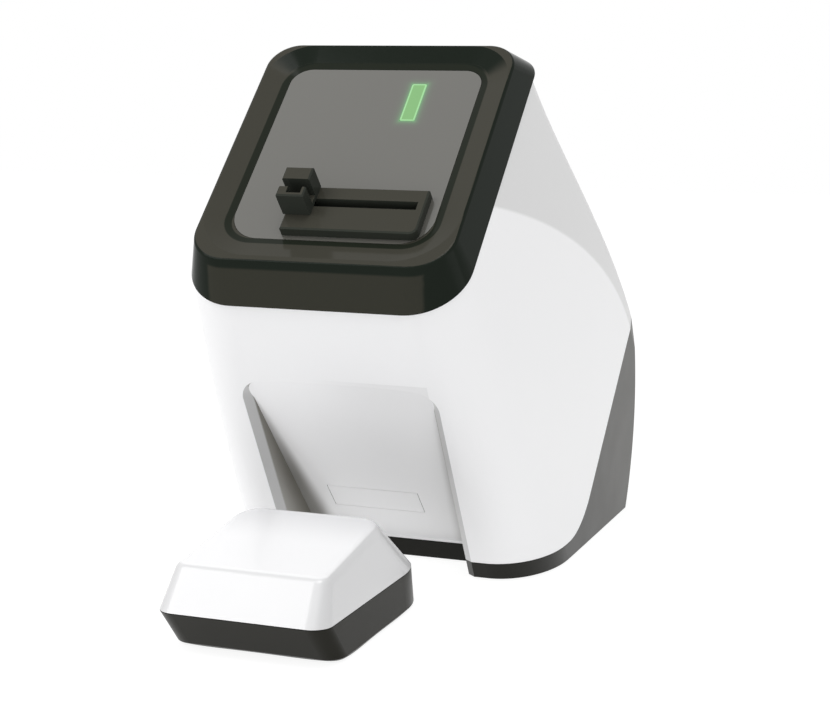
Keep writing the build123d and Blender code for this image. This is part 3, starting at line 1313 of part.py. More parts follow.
def power_inlet():
    """Low voltage socket with a centre pin."""
    face = RECESS_FLOOR_Y + CONNECTOR_PLATE_THICK
    half = INLET_SIZE / 2
    y = (BOARD_Y + BOARD_THICK, RECESS_FLOOR_Y)
    body = world_box((INLET_X - half, INLET_X + half), y, (INLET_Z - half, INLET_Z + half))
    body += y_rod(INLET_X, INLET_Z, INLET_RADIUS, (RECESS_FLOOR_Y - 1, face + 1))
    body -= y_rod(INLET_X, INLET_Z, INLET_BORE, (face - INLET_DEEP, face + 2))
    return body + y_rod(INLET_X, INLET_Z, INLET_PIN, (face - INLET_DEEP - 1, face))


def network_port():
    """Square network socket."""
    face = RECESS_FLOOR_Y + CONNECTOR_PLATE_THICK + PORT_PROUD
    body = world_box(PORT_X, (BOARD_Y + BOARD_THICK, face), PORT_Z)
    wall = PORT_WALL
    x = (PORT_X[0] + 2 * wall, PORT_X[1] - 2 * wall)
    body -= world_box(x, (face - PORT_DEPTH, FAR), (PORT_Z[0] + 2 * wall, PORT_Z[1] - wall))
    step = PORT_LATCH / 2
    latch_z = (PORT_Z[0] + wall, PORT_Z[1] - wall)
    return body - world_box((-step, step), (face - PORT_DEPTH, FAR), latch_z)


def switch_block(grow, y):
    """Plain block with the outline of the power switch."""
    x = (SWITCH_X - SWITCH_WIDTH / 2 - grow, SWITCH_X + SWITCH_WIDTH / 2 + grow)
    return world_box(x, y, (SWITCH_Z - SWITCH_HEIGHT / 2 - grow, SWITCH_Z + SWITCH_HEIGHT / 2 + grow))


def switch_frame():
    """Body of the power switch with the well that the rocker tips in."""
    face = RECESS_FLOOR_Y + CONNECTOR_PLATE_THICK
    body = switch_block(0.0, (SWITCH_BODY_Y, face))
    body += switch_block(SWITCH_FLANGE, (face, face + SWITCH_FLANGE_THICK))
    body -= switch_block(-SWITCH_WALL, (ROCKER_PIVOT_Y - SWITCH_WELL, FAR))
    pivot = (SWITCH_X - SWITCH_WIDTH / 2 + 0.4, SWITCH_X + SWITCH_WIDTH / 2 - 0.4)
    return body - x_rod(pivot, ROCKER_PIVOT_Y, SWITCH_Z, ROCKER_STUB_RADIUS + RUN_FIT)


def x_rod(x, y, z, radius):
    """Round bar along X between two values of x."""
    return Pos((x[0] + x[1]) / 2, y, z) * Rot(0, 90, 0) * Cylinder(radius, x[1] - x[0])


def power_rocker():
    """Rocker of the power switch, tipped to its off side."""
    half = ROCKER_HALF
    points = [(ROCKER_FACE, half), (ROCKER_VALLEY, 0), (ROCKER_FACE, -half)]
    points += [(-ROCKER_BACK, -half), (-ROCKER_BACK, half)]
    x = (SWITCH_X - ROCKER_WIDTH / 2, SWITCH_X + ROCKER_WIDTH / 2)
    block = side_slab(points, x)
    block += x_rod((x[0] - ROCKER_STUB, x[1] + ROCKER_STUB), 0, 0, ROCKER_STUB_RADIUS)
    return Pos(0, ROCKER_PIVOT_Y, SWITCH_Z) * Rot(-ROCKER_TILT, 0, 0) * block


def base_screws():
    """Screws that join the base to the white shell from below."""
    screws = []
    for x, y, z in POST_PLACES:
        seat = z - SCREW_GRIP
        screw = post(x, y, HEAD_RADIUS, (seat - HEAD_HEIGHT, seat))
        screw += post(x, y, SHANK_RADIUS, (seat, z + SCREW_REACH))
        screws.append(screw)
        screws.append(mirror(screw, about=Plane.YZ))
    return Compound(children=screws)


def rubber_feet():
    """Four soft feet in shallow wells under the base."""
    feet = []
    for x, y in FOOT_PLACES:
        for side in (-x, x):
            foot = post(side, y, FOOT_RADIUS, (0, FOOT_HEIGHT + FOOT_SINK))
            feet.append(foot)
    return Compound(children=feet)


def box_outline(width, y, front_radius, run, rise):
    """Plan of the collector box: round front corners and long drawn-in rear corners."""
    half = width / 2
    low, high = y
    side = half - front_radius
    edges = [Line((-side, low), (side, low))]
    edges.append(CenterArc((side, low + front_radius), front_radius, -90, 90))
    edges.append(Line((half, low + front_radius), (half, high - rise)))
    turn = half - run
    edges.append(EllipticalCenterArc((turn, high - rise), run, rise, start_angle=0, arc_size=90))
    edges.append(Line((turn, high), (-turn, high)))
    edges.append(EllipticalCenterArc((-turn, high - rise), run, rise, start_angle=90, arc_size=90))
    edges.append(Line((-half, high - rise), (-half, low + front_radius)))
    edges.append(CenterArc((-side, low + front_radius), front_radius, 180, 90))
    return make_face(edges)


def box_face(width, y, inset, z):
    """Level section of the collector box at a height, drawn in by an inset."""
    limits = (y[0] + inset, y[1] - inset)
    front = BOX_CORNER - inset
    outline = box_outline(width - 2 * inset, limits, front, BOX_REAR_RUN - inset, BOX_REAR_RISE - inset)
    return Plane(origin=(0, 0, z)) * outline


def tray_form(inset, foot):
    """Outer form of the collector's tray, or its inside when drawn in."""
    share = foot / BOX_SEAM_Z
    width = BOX_FOOT_WIDTH + (BOX_WIDTH - BOX_FOOT_WIDTH) * share
    y = [low + (high - low) * share for low, high in zip(BOX_FOOT_Y, BOX_Y)]
    top = box_face(BOX_WIDTH, BOX_Y, inset, BOX_SEAM_Z)
    return loft([box_face(width, y, inset, foot), top], ruled=True)


def collector_base():
    """Dark tray of the collector box."""
    tray = tray_form(0.0, 0.0)
    tray = chamfer(tray.faces().sort_by(Axis.Z)[0].edges(), TRAY_BEVEL)
    return tray - tray_form(BOX_WALL, BOX_WALL)


def lid_form(inset, seam):
    """Outer form of the collector's lid, or its inside when drawn in."""
    front_y, front_z = LID_TOP_FRONT
    rear_y, rear_z = LID_TOP_REAR
    tip = math.atan2(rear_z - front_z, rear_y - front_y)
    reach = math.hypot(rear_y - front_y, rear_z - front_z) / 2 - inset
    middle = Vector(0, (front_y + rear_y) / 2, (front_z + rear_z) / 2)
    normal = Vector(0, -math.sin(tip), math.cos(tip))
    plane = Plane(origin=middle - normal * inset, x_dir=(1, 0, 0), z_dir=normal)
    run, rise = LID_REAR_RUN - inset, LID_REAR_RISE - inset
    outline = box_outline(LID_TOP_WIDTH - 2 * inset, (-reach, reach), LID_TOP_CORNER - inset, run, rise)
    return loft([box_face(BOX_WIDTH, BOX_Y, inset, seam), plane * outline], ruled=True)


def lid_skirt(seam):
    """Rim under the lid that locates it inside the tray."""
    inset = BOX_WALL + SEAT_GAP + SKIRT_GAP / 2
    y = (BOX_Y[0] + LID_SKIRT, BOX_Y[1])
    outer = extrude(box_face(BOX_WIDTH, y, inset, seam + 1), amount=-LID_SKIRT - 1)
    return outer - extrude(box_face(BOX_WIDTH, y, inset + BOX_WALL, seam + 2), amount=-LID_SKIRT - 3)


def collector_lid():
    """White lid of the collector box with the plate mouth in its sloping rear."""
    seam = BOX_SEAM_Z + BOX_SEAM_GAP
    lid = lid_form(0.0, seam)
    lid = fillet(lid.faces().sort_by(Axis.Z)[-1].edges(), LID_EDGE_RADIUS)
    lid = lid - lid_form(BOX_WALL, seam) + lid_skirt(seam)
    half = BOX_MOUTH_WIDTH / 2
    return lid - world_box((-half, half), (LID_TOP_REAR[0] + LID_EDGE_RADIUS, FAR), BOX_MOUTH_Z)


def collector_pad():
    """Foam sheet that softens a plate's landing."""
    half = PAD_WIDTH / 2
    return world_box((-half, half), PAD_Y, (BOX_WALL, BOX_WALL + PAD_THICK))


def all_parts():
    """Every node of the machine by name."""
    walls = cabinet_walls()
    parts = {"main_shell": main_shell(walls), "base_housing": base_housing(walls)}
    makers = [bezel, window_panel, status_light, status_led_board, slot_platform, plate_guide]
    makers += [guide_foot, guide_rail, entry_guide, light_seals, upper_end_plate, lower_end_plate]
    makers += [left_side_plate, right_side_plate, frame_screws, guide_rods, rod_clips, lead_screw]
    makers += [screw_bearings, carriage_nut, carriage_bushes, carriage, plate_bed, motor_bracket]
    makers += [stepper_motor, motor_shaft, motor_coupler, home_sensor, optics_bench, laser_mount]
    makers += [laser_module, laser_board, polygon_mirror, mirror_motor, scan_lens, lens_clamps]
    makers += [light_guide, detector_tube, detector_shield, detector_shelf, eraser_board]
    makers += [eraser_strip, exit_chute, main_board, board_chips, board_support, exit_flap]
    makers += [board_screws, connector_plate, power_inlet, network_port, switch_frame, power_rocker]
    makers += [base_screws, rubber_feet, collector_base, collector_lid, collector_pad]
    for maker in makers:
        parts[maker.__name__] = maker()
    return parts


os.makedirs("parts", exist_ok=True)
for name, shape in all_parts().items():
    export_step(shape, f"parts/{name}.step")
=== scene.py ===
import json
import math

import bpy
from mathutils import Matrix, Vector

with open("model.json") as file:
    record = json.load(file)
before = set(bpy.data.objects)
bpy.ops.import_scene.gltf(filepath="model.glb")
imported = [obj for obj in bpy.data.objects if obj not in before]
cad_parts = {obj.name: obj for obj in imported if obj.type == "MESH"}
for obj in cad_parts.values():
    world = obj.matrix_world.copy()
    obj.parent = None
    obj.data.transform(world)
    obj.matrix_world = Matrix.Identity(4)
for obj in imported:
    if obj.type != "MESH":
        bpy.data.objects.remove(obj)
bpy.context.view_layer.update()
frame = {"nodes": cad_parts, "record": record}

# Panel direction, repeated from the model: tilt back from the vertical and height of the window's foot
TILT = math.radians(46.3)
PANEL_Z = 0.1546

# Collector bay: half its width inside and at its lip, its rear wall and how far up the panel its roof lies
BAY_HALF = 0.0414
BAY_LIP_HALF = 0.0453
BAY_REAR = 0.0915
BAY_TOP = -0.0340
BAY_EDGE = 0.0004

# Painted shade on the bay's roof along its side walls: where it starts and grows, and how far it reaches
SHADE_START = 0.052
SHADE_SPREAD = 0.17
SHADE_LEAST = 0.001
SHADE_DEPTHS = (0.06, 0.13)
SHADE_REACH = (0.2, 0.8)
SHADE_STRENGTH = 0.85

# Painted darker reflection on the right part of the bay's roof
RIGHT_START = -0.02
RIGHT_END = 0.036
RIGHT_STRENGTH = 0.3

# Height over which the painted shade on the bay's side walls deepens toward the roof
WALL_FADE = 0.026

# Painted shade on the upper facet of the shell: where it starts, and how its lower edge rises below the panel
FACET_DEPTH = 0.012
FACET_RUN = 0.186
FACET_LOW = 0.033
FACET_RISE = 0.0875
FACET_POWER = 1.65
FACET_BLUR = 0.0012

# Window outline, and the ring of painted shadow round it
WINDOW_HALF = 0.04465
WINDOW_HEIGHT = 0.1007
WINDOW_ROUND = 0.011
RING_SHADE_START = 0.0004
RING_SHADE_ENDS = (0.0036, 0.0030)

# Status light: its place across and up the panel, its pale edge, and the glow painted round it on the window
BAR_ACROSS = (0.0135, 0.0202)
BAR_UP = (0.0697, 0.0920)
BAR_EDGE = 0.0007
GLOW_FALL = -900.0
GLOW_STRENGTH = 0.35

# How far a surface turns to a direction where a painted tone of light or shade starts and where it is full
LIP_TURN = (0.35, 0.5)
ROOF_TURN = (-0.8, -0.97)
WALL_TURN = (0.3, 0.9)
LID_END_TURN = (0.25, 0.6)
LID_TOP_TURN = (0.8, 0.95)
CHIN_RISE = (-0.6, -0.7)
CHIN_SIDES = (0.36, 0.28)
CHIN_OUTWARD = (0.4, 0.5)
FRONT_RISE = (-0.2, -0.08)
FRONT_OUTWARD = (0.9, 0.94)

# Depth at which the bezel's chin starts
CHIN_DEPTHS = (-0.001, 0.0)

# Stretch over which painted light turns the base paler, and painted shade turns the lid's top duller, from
# front to back
BASE_LIGHT_RAMP = (0.09, 0.24)
LID_SHADE_RAMP = (-0.045, -0.005)

# Scales and depth of the surface textures
DRIFT_SCALE = 18.0
GLOSS_SCALE = 55.0
POLISH_SCALE = 40.0
GRAIN_SCALE = 2600.0
GRAIN_DEPTH = 0.0002
MARK_SCALE = 300.0

# Spread of roughness and colour in plain plastic and metal
PLASTIC_GLOSS = 0.04
PLASTIC_DRIFT = 0.03
METAL_GLOSS = 0.08
METAL_DRIFT = 0.15
WHITE_DRIFT = 0.008

# Directions up the panel, below it and out of it
UPWARD = (0, math.sin(TILT), math.cos(TILT))
INWARD = (0, math.cos(TILT), -math.sin(TILT))
OUTWARD = (0, -math.cos(TILT), math.sin(TILT))
ACROSS = (1, 0, 0)
BACKWARD = (0, 1, 0)
SKYWARD = (0, 0, 1)

# Camera, in metres and degrees
CAMERA_SPOT = (0.2884, -0.6817, 0.2200)
CAMERA_TURN = math.radians(20.02)
CAMERA_FALL = math.radians(8.896)
CAMERA_ROLL = math.radians(0.557)
CAMERA_LENS = 78.53
SENSOR = 36.0


def panel_point(x, up):
    """Point on the front panel, given by its distances across and up."""
    return Vector((x, up * math.sin(TILT), PANEL_Z + up * math.cos(TILT)))


# Camera
def add_camera():
    """Camera at the photograph's angle."""
    data = bpy.data.cameras.new("camera")
    data.lens = CAMERA_LENS
    data.sensor_width = SENSOR
    data.sensor_fit = "HORIZONTAL"
    camera = bpy.data.objects.new("camera", data)
    bpy.context.collection.objects.link(camera)
    level = math.cos(CAMERA_FALL)
    ahead = Vector((-math.sin(CAMERA_TURN) * level, math.cos(CAMERA_TURN) * level, -math.sin(CAMERA_FALL)))
    right = Vector((math.cos(CAMERA_TURN), math.sin(CAMERA_TURN), 0))
    up = right.cross(ahead)
    right_rolled = right * math.cos(CAMERA_ROLL) + up * math.sin(CAMERA_ROLL)
    up_rolled = up * math.cos(CAMERA_ROLL) - right * math.sin(CAMERA_ROLL)
    turn = Matrix((right_rolled, up_rolled, -ahead)).transposed()
    camera.matrix_world = Matrix.Translation(CAMERA_SPOT) @ turn.to_4x4()
    bpy.context.scene.camera = camera


add_camera()


# Materials
class Nodes:
    """Short way to build one material's node tree."""

    def __init__(self, name):
        self.material = bpy.data.materials.new(name)
        self.material.use_nodes = True
        self.tree = self.material.node_tree
        self.shader = self.tree.nodes["Principled BSDF"]

    def add(self, kind, **settings):
        """New node with its settings."""
        node = self.tree.nodes.new(kind)
        for key, value in settings.items():
            setattr(node, key, value)
        return node

    def link(self, source, target):
        """Wire from an output to an input."""
        self.tree.links.new(source, target)

    def put(self, node, **values):
        """Values of a node's inputs, named with underscores for spaces."""
        for key, value in values.items():
            node.inputs[key.replace("_", " ")].default_value = value
        return node

    def coordinates(self):
        """Position in the model's own frame."""
        return self.add("ShaderNodeTexCoord").outputs["Object"]

    def noise(self, scale, detail=4.0):
        """Cloudy pattern from 0 to 1."""
        texture = self.put(self.add("ShaderNodeTexNoise"), Scale=scale, Detail=detail)
        self.link(self.coordinates(), texture.inputs["Vector"])
        return texture.outputs["Fac"]

    def ramp(self, source, low, high):
        """Source from 0 to 1 spread over low to high."""
        spread = self.put(self.add("ShaderNodeMapRange"), To_Min=low, To_Max=high)
        self.link(source, spread.inputs["Value"])
        return spread.outputs["Result"]

    def math(self, operation, first, second=0.0):
        """Result of a named operation on one or two numbers or outputs."""
        node = self.add("ShaderNodeMath", operation=operation)
        for socket, value in zip(node.inputs, (first, second)):
            if isinstance(value, (int, float)):
                socket.default_value = value
            else:
                self.link(value, socket)
        return node.outputs[0]

    def product(self, first, *others):
        """Product of several masks."""
        for other in others:
            first = self.math("MULTIPLY", first, other)
        return first

    def mix(self, factor, first, second):
        """Blend from the first colour to the second."""
        node = self.add("ShaderNodeMix", data_type="RGBA")
        self.link(factor, node.inputs["Factor"])
        sockets = [socket for socket in node.inputs if socket.type == "RGBA"]
        for socket, value in zip(sockets, (first, second)):
            if isinstance(value, tuple):
                socket.default_value = (*value, 1.0)
            else:
                self.link(value, socket)
        return next(socket for socket in node.outputs if socket.type == "RGBA")

    def along(self, direction):
        """Position along a direction, in metres, in the model's own frame."""
        node = self.add("ShaderNodeVectorMath", operation="DOT_PRODUCT")
        self.link(self.coordinates(), node.inputs[0])
        node.inputs[1].default_value = direction
        return node.outputs["Value"]

    def facing(self, direction):
        """How far the surface faces a direction, from -1 to 1."""
        node = self.add("ShaderNodeVectorMath", operation="DOT_PRODUCT")
        self.link(self.add("ShaderNodeTexCoord").outputs["Normal"], node.inputs[0])
        node.inputs[1].default_value = direction
        return node.outputs["Value"]

    def facing_sides(self):
        """How far the surface faces either side, from 0 to 1."""
        return self.math("ABSOLUTE", self.facing(ACROSS))

    def up(self):
        """Distance up the front panel from the window's foot."""
        return self.math("SUBTRACT", self.along(UPWARD), PANEL_Z * math.cos(TILT))

    def depth(self):
        """Distance below the front panel."""
        return self.math("ADD", self.along(INWARD), PANEL_Z * math.sin(TILT))

    def side(self):
        """Distance from the middle plane."""
        return self.math("ABSOLUTE", self.along(ACROSS))

    def step(self, source, low, high):
        """Smooth step from 0 at low to 1 at high."""
        node = self.add("ShaderNodeMapRange", interpolation_type="SMOOTHSTEP")
        self.put(node, From_Min=low, From_Max=high)
        self.link(source, node.inputs["Value"])
        return node.outputs["Result"]

    def corner_distance(self, parts):
        """Length of two distances at right angles, where they are over 0."""
        squares = [self.math("POWER", self.math("MAXIMUM", part, 0.0), 2.0) for part in parts]
        return self.math("SQRT", self.math("ADD", *squares))

    def window_distance(self):
        """Distance outside the window's rounded outline."""
        middle = WINDOW_HEIGHT / 2
        across = self.math("SUBTRACT", self.side(), WINDOW_HALF - WINDOW_ROUND)
        climb = self.math("ABSOLUTE", self.math("SUBTRACT", self.up(), middle))
        climb = self.math("SUBTRACT", climb, middle - WINDOW_ROUND)
        return self.math("SUBTRACT", self.corner_distance((across, climb)), WINDOW_ROUND)

    def bar_distances(self):
        """Distances outside the status light's edges, across and up the panel."""
        place = self.add("ShaderNodeMapping", vector_type="TEXTURE")
        centre = panel_point(sum(BAR_ACROSS) / 2, sum(BAR_UP) / 2)
        self.put(place, Location=centre, Rotation=(math.pi / 2 - TILT, 0, 0))
        self.link(self.coordinates(), place.inputs["Vector"])
        split = self.add("ShaderNodeSeparateXYZ")
        self.link(place.outputs["Vector"], split.inputs["Vector"])
        distances = []
        for axis, (low, high) in (("X", BAR_ACROSS), ("Y", BAR_UP)):
            away = self.math("ABSOLUTE", split.outputs[axis])
            distances.append(self.math("SUBTRACT", away, (high - low) / 2))
        return distances

    def drifting(self, colour, share, scale=DRIFT_SCALE):
        """Colour that drifts a share darker and back."""
        return self.mix(self.noise(scale), tuple(part * (1 - share) for part in colour), colour)

    def paint(self, colour):
        """Colour of the surface."""
        self.link(colour, self.shader.inputs["Base Color"])

    def gloss(self, low, high, scale=GLOSS_SCALE):
        """Roughness that varies between two values."""
        self.link(self.ramp(self.noise(scale), low, high), self.shader.inputs["Roughness"])

    def grain(self, strength):
        """Fine moulded grain."""
        node = self.put(self.add("ShaderNodeBump"), Strength=strength, Distance=GRAIN_DEPTH)
        self.link(self.noise(GRAIN_SCALE, 2.0), node.inputs["Height"])
        self.link(node.outputs["Normal"], self.shader.inputs["Normal"])


def srgb(code):
    """Linear colour from a six digit code."""
    parts = [int(code[i:i + 2], 16) / 255 for i in (0, 2, 4)]
    return tuple(p / 12.92 if p <= 0.04045 else ((p + 0.055) / 1.055) ** 2.4 for p in parts)


def plastic(name, code, rough, grain=0.0, shine=0.5):
    """Moulded plastic with faint colour drift, uneven gloss and optional grain."""
    made = Nodes(name)
    made.paint(made.drifting(srgb(code), PLASTIC_DRIFT))
    made.gloss(rough - PLASTIC_GLOSS, rough + PLASTIC_GLOSS)
    made.put(made.shader, Specular_IOR_Level=shine)
    if grain:
        made.grain(grain)
    return made.material


def facet_mask(made):
    """Upper facet of the shell, where shade is painted, above a line that climbs toward the rear."""
    share = made.math("DIVIDE", made.math("SUBTRACT", made.depth(), FACET_DEPTH), FACET_RUN)
    rest = made.math("MAXIMUM", made.math("SUBTRACT", 1.0, share), 0.0)
    climb = made.math("SUBTRACT", 1.0, made.math("POWER", rest, FACET_POWER))
    shoulder = made.math("ADD", made.math("MULTIPLY", climb, FACET_RISE), FACET_LOW)
    return made.step(made.math("SUBTRACT", made.up(), shoulder), -FACET_BLUR, FACET_BLUR)


def wall_shade(made):
    """Painted shade on the bay's roof that widens with depth along both side walls."""
    fall = made.math("MULTIPLY", made.math("SUBTRACT", made.depth(), SHADE_START), SHADE_SPREAD)
    spread = made.math("MAXIMUM", fall, SHADE_LEAST)
    start = made.math("SUBTRACT", BAY_HALF, spread)
    near = made.math("DIVIDE", made.math("SUBTRACT", made.side(), start), spread)
    return made.product(made.step(near, *SHADE_REACH), made.step(made.depth(), *SHADE_DEPTHS), SHADE_STRENGTH)


def shell_look():
    """White shell with painted shade on its upper facet, on the bay's lip and side walls and along the walls
    on the bay's roof, and a painted darker reflection on the roof's right part.
    """
    made = Nodes("shell_white")
    colour = made.drifting(srgb("f7f7f8"), WHITE_DRIFT)
    # Painted shade on the upper facet
    colour = made.mix(facet_mask(made), colour, srgb("dadada"))

    before = made.math("LESS_THAN", made.along(BACKWARD), BAY_REAR)
    bay = made.product(before, made.math("LESS_THAN", made.up(), BAY_TOP))
    inward = made.facing_sides()
    # Painted shade on the bay's lip
    lip = made.product(made.step(inward, *LIP_TURN), made.math("LESS_THAN", made.side(), BAY_LIP_HALF), bay)
    colour = made.mix(lip, colour, srgb("c4c4c4"))

    bay = made.product(bay, made.math("SUBTRACT", 1.0, made.step(made.side(), BAY_HALF, BAY_HALF + BAY_EDGE)))
    roof = made.product(bay, made.step(made.facing(UPWARD), *ROOF_TURN))
    # Painted darker reflection on the roof's right part
    right = made.step(made.along(ACROSS), RIGHT_START, RIGHT_END)
    colour = made.mix(made.product(roof, right, RIGHT_STRENGTH), colour, srgb("d0d0d0"))
    # Painted shade along the side walls on the roof
    colour = made.mix(made.product(roof, wall_shade(made)), colour, srgb("77756f"))

    # Painted shade on the bay's side walls, deepest toward the roof
    wall = made.product(bay, made.step(inward, *WALL_TURN))
    dark = made.mix(made.step(made.up(), BAY_TOP - WALL_FADE, BAY_TOP), srgb("bdbbb6"), srgb("747169"))
    made.paint(made.mix(wall, colour, dark))
    made.gloss(0.28, 0.36)
    made.put(made.shader, Coat_Weight=0.15, Coat_Roughness=0.03)
    return made.material


def lid_look():
    """Glossy white lid, with painted shade on its ends and painted light on the front of its top, which turns
    to painted shade toward the machine.
    """
    made = Nodes("lid_white")
    colour = made.drifting(srgb("dfdfe0"), WHITE_DRIFT)
    # Painted shade on the lid's ends
    colour = made.mix(made.step(made.facing_sides(), *LID_END_TURN), colour, srgb("d4d4d5"))
    # Painted light on the front of the top, turning to painted shade toward the machine
    top = made.mix(made.step(made.along(BACKWARD), *LID_SHADE_RAMP), srgb("f8f8f9"), srgb("dcdcde"))
    made.paint(made.mix(made.step(made.facing(SKYWARD), *LID_TOP_TURN), colour, top))
    made.gloss(0.2, 0.28)
    made.put(made.shader, Coat_Weight=0.3, Coat_Roughness=0.03)
    return made.material


def base_look():
    """Dark base plastic, with painted light that turns it paler toward the rear wall."""
    made = Nodes("base_grey")
    # Painted light, paler toward the rear
    back = made.step(made.along(BACKWARD), *BASE_LIGHT_RAMP)
    full = made.mix(back, srgb("1f1f1b"), srgb("383732"))
    drifted_rear_lit = made.mix(back, srgb("1d1d19"), srgb("36352f"))
    made.paint(made.mix(made.noise(DRIFT_SCALE), full, drifted_rear_lit))
    made.gloss(0.26, 0.34)
    made.put(made.shader, Specular_IOR_Level=0.15)
    made.grain(0.04)
    return made.material


def metal(name, code, rough, stretch=(1, 1, 1)):
    """Bare metal with fine marks, drawn out where it is stretched."""
    made = Nodes(name)
    made.put(made.shader, Metallic=1.0)
    colour = srgb(code)
    spread = made.put(made.add("ShaderNodeMapping"), Scale=stretch)
    made.link(made.coordinates(), spread.inputs["Vector"])
    texture = made.put(made.add("ShaderNodeTexNoise"), Scale=MARK_SCALE, Detail=5.0)
    made.link(spread.outputs["Vector"], texture.inputs["Vector"])
    marks = texture.outputs["Fac"]
    made.paint(made.mix(marks, tuple(part * (1 - METAL_DRIFT) for part in colour), colour))
    made.link(made.ramp(marks, rough - METAL_GLOSS, rough + METAL_GLOSS), made.shader.inputs["Roughness"])
    return made.material


def clear(name, code):
    """Clear moulded or polished material."""
    made = Nodes(name)
    made.put(made.shader, Transmission_Weight=1.0, IOR=1.49, Base_Color=(*srgb(code), 1))
    made.gloss(0.03, 0.07, POLISH_SCALE)
    return made.material


def bezel_look(name, code):
    """Polished black moulding with painted reflections that make it paler on the faces square to the panel
    and give its chin a tone of its own, and a ring of painted shadow round the window.
    """
    made = Nodes(name)
    colour = made.drifting(srgb(code), 0.1, 14.0)
    rise = made.facing(UPWARD)
    outward = made.facing(OUTWARD)
    # Painted reflection on the chin
    chin = made.product(made.step(rise, *CHIN_RISE), made.step(made.facing_sides(), *CHIN_SIDES))
    chin = made.product(chin, made.step(outward, *CHIN_OUTWARD), made.step(made.depth(), *CHIN_DEPTHS))
    colour = made.mix(chin, colour, srgb("33332c"))
    # Painted reflection on the faces square to the panel
    front = made.product(made.step(outward, *FRONT_OUTWARD), made.step(rise, *FRONT_RISE))
    colour = made.mix(front, colour, srgb("403f38"))
    # Ring of painted shadow round the window
    outside = made.window_distance()
    ring_shade = made.product(made.step(outside, *RING_SHADE_ENDS), made.step(outside, 0.0, RING_SHADE_START))
    made.paint(made.mix(ring_shade, colour, srgb("22261f")))
    made.gloss(0.1, 0.16, POLISH_SCALE)
    made.put(made.shader, Specular_IOR_Level=0.05)
    return made.material


def window_look():
    """Smoked panel, grey under a polished face, with the status light's glow painted round its bar."""
    made = Nodes("smoked_window")
    made.paint(made.drifting(srgb("5f5e59"), 0.06, 9.0))
    made.put(made.shader, Roughness=0.16, Coat_Weight=0.6, Coat_Roughness=0.02)
    # Glow of the status light painted on the window round its bar
    distance = made.corner_distance(made.bar_distances())
    glow = made.math("EXPONENT", made.math("MULTIPLY", distance, GLOW_FALL))
    made.put(made.shader, Emission_Color=(*srgb("4fd06a"), 1))
    made.link(made.math("MULTIPLY", glow, GLOW_STRENGTH), made.shader.inputs["Emission Strength"])
    return made.material


def light_look():
    """Lit green bar, paler along its edges."""
    made = Nodes("status_green")
    made.put(made.shader, Base_Color=(0.13, 0.30, 0.105, 1), Roughness=0.25, Emission_Strength=0.5)
    edge = made.math("GREATER_THAN", made.math("MAXIMUM", *made.bar_distances()), -BAR_EDGE)
    tint = made.mix(edge, (0.154, 0.29, 0.128), (0.42, 0.75, 0.42))
    made.link(tint, made.shader.inputs["Emission Color"])
    return made.material


LOOKS = {
    "shell_white": shell_look(),
    "lid_white": lid_look(),
    "base_grey": base_look(),
    "bezel_black": bezel_look("bezel_black", "1b211b"),
    "window_smoke": window_look(),
    "light_green": light_look(),
    "circuit_green": plastic("circuit_green", "1f5a35", 0.4),
    "chip_black": plastic("chip_black", "1b1b1d", 0.45, grain=0.05),
    "sheet_steel": metal("sheet_steel", "b9bbbe", 0.34, (1, 1, 6)),
    "ground_steel": metal("ground_steel", "cfd0d2", 0.2, (12, 1, 1)),
    "screw_steel": metal("screw_steel", "a9aaad", 0.3),
    "bronze": metal("bronze", "c9a465", 0.35),
    "black_acetal": plastic("black_acetal", "202022", 0.4, grain=0.03),
    "white_acetal": plastic("white_acetal", "e4e3de", 0.4),
    "brush_fibre": plastic("brush_fibre", "141414", 0.8, grain=0.6),
    "motor_metal": metal("motor_metal", "9a9b9d", 0.35, (6, 6, 1)),
    "mirror_face": metal("mirror_face", "f2f2f2", 0.1),
    "lens_glass": clear("lens_glass", "f2fafc"),
    "tube_glass": clear("tube_glass", "d9cdb4"),
    "can_metal": metal("can_metal", "b4b6b8", 0.3, (1, 1, 8)),
    "foot_rubber": plastic("foot_rubber", "191919", 0.75, grain=0.2),
    "foam_grey": plastic("foam_grey", "55565a", 0.9, grain=0.8),
}

# Looks of single nodes, in place of their slot's
NODE_LOOKS = {
    # Guide and platform carry the bezel's painted reflections
    "plate_guide": bezel_look("guide_black", "353833"),
    "slot_platform": bezel_look("platform_black", "3a3d37"),
    # Funnel painted paler than its plastic, as painted light inside the slot
    "entry_guide": plastic("funnel_painted_light", "8a8a84", 0.5, grain=0.03),
    "collector_base": plastic("tray_grey", "1c1b14", 0.3, grain=0.04, shine=0.06),
}


def dress():
    """Gives every CAD node the look of its material slot, or its own."""
    for part in frame["record"]["subparts"]:
        node = frame["nodes"][part["node"]]
        look = NODE_LOOKS.get(part["node"], LOOKS[part["material_slot"]])
        for place in node.material_slots:
            place.material = look
        if not node.material_slots:
            node.data.materials.append(look)


dress()


# World, lights and floor

# Levels of the world and the floor, as light and as seen directly or in glossy and clear surfaces
WORLD_LEVEL = 0.55
WORLD_SEEN = 1.0
FLOOR_LEVEL = 1.06
FLOOR_SEEN = 1.25
FLOOR_GLOW = 0.7
FLOOR_WHITE = 0.9
FLOOR_REACH = 3.0

# Lamps: name, place, aim, size and power
LAMPS = (
    ("key", (-0.8, -0.8, 1.1), (0, 0.05, 0.08), (0.8, 0.8), 7.5),
    ("side", (1.4, -0.1, 0.15), (0, 0.1, 0.1), (1.0, 0.6), 2),
    ("top", (0.1, -0.5, 1.4), (0, -0.05, 0.05), (0.6, 0.6), 5.5),
)


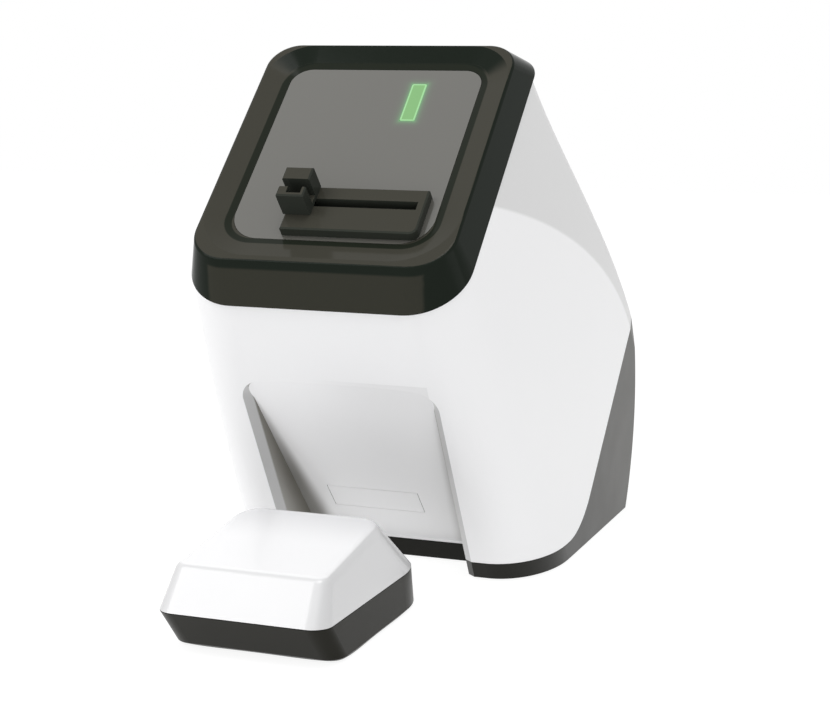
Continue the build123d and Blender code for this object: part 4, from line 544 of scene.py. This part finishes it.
def seen_level(tree, light, seen):
    """Level of a glow as light, and as seen by the camera and in glossy and clear surfaces."""
    path = tree.nodes.new("ShaderNodeLightPath")
    direct = path.outputs["Is Camera Ray"]
    for name in ("Is Glossy Ray", "Is Transmission Ray"):
        add = tree.nodes.new("ShaderNodeMath")
        add.operation = "ADD"
        add.use_clamp = True
        tree.links.new(direct, add.inputs[0])
        tree.links.new(path.outputs[name], add.inputs[1])
        direct = add.outputs[0]
    level = tree.nodes.new("ShaderNodeMapRange")
    level.inputs["To Min"].default_value = light
    level.inputs["To Max"].default_value = seen
    tree.links.new(direct, level.inputs["Value"])
    return level.outputs["Result"]


def add_world():
    """White backdrop that lights the object at a plain level."""
    world = bpy.data.worlds.new("studio")
    world.use_nodes = True
    bpy.context.scene.world = world
    back = world.node_tree.nodes["Background"]
    back.inputs["Color"].default_value = (1, 1, 1, 1)
    strength = seen_level(world.node_tree, WORLD_LEVEL, WORLD_SEEN)
    world.node_tree.links.new(strength, back.inputs["Strength"])


def add_light(name, spot, aim, size, power):
    """Soft rectangular lamp that points at a spot."""
    data = bpy.data.lights.new(name, "AREA")
    data.shape = "RECTANGLE"
    data.size, data.size_y = size
    data.energy = power
    lamp = bpy.data.objects.new(name, data)
    bpy.context.collection.objects.link(lamp)
    away = Vector(spot) - Vector(aim)
    lamp.matrix_world = Matrix.Translation(spot) @ away.to_track_quat("Z", "Y").to_matrix().to_4x4()


def add_floor():
    """Pale table top that glows a little, so that it stays white and keeps the object's shadow."""
    made = Nodes("pale_floor")
    made.tree.nodes.remove(made.shader)
    glow = made.add("ShaderNodeEmission")
    made.link(seen_level(made.tree, FLOOR_LEVEL, FLOOR_SEEN), glow.inputs["Strength"])
    matt = made.put(made.add("ShaderNodeBsdfDiffuse"), Color=(FLOOR_WHITE, FLOOR_WHITE, FLOOR_WHITE, 1))
    blend = made.put(made.add("ShaderNodeMixShader"), Fac=FLOOR_GLOW)
    made.link(matt.outputs[0], blend.inputs[1])
    made.link(glow.outputs[0], blend.inputs[2])
    made.link(blend.outputs[0], made.tree.nodes["Material Output"].inputs["Surface"])
    mesh = bpy.data.meshes.new("floor")
    corners = [(x * FLOOR_REACH, y * FLOOR_REACH, 0) for x, y in ((-1, -1), (1, -1), (1, 1), (-1, 1))]
    mesh.from_pydata(corners, [], [(0, 1, 2, 3)])
    mesh.materials.append(made.material)
    floor = bpy.data.objects.new("floor", mesh)
    bpy.context.collection.objects.link(floor)


add_world()
add_floor()
for lamp in LAMPS:
    add_light(*lamp)
bpy.context.scene.view_settings.view_transform = "Standard"
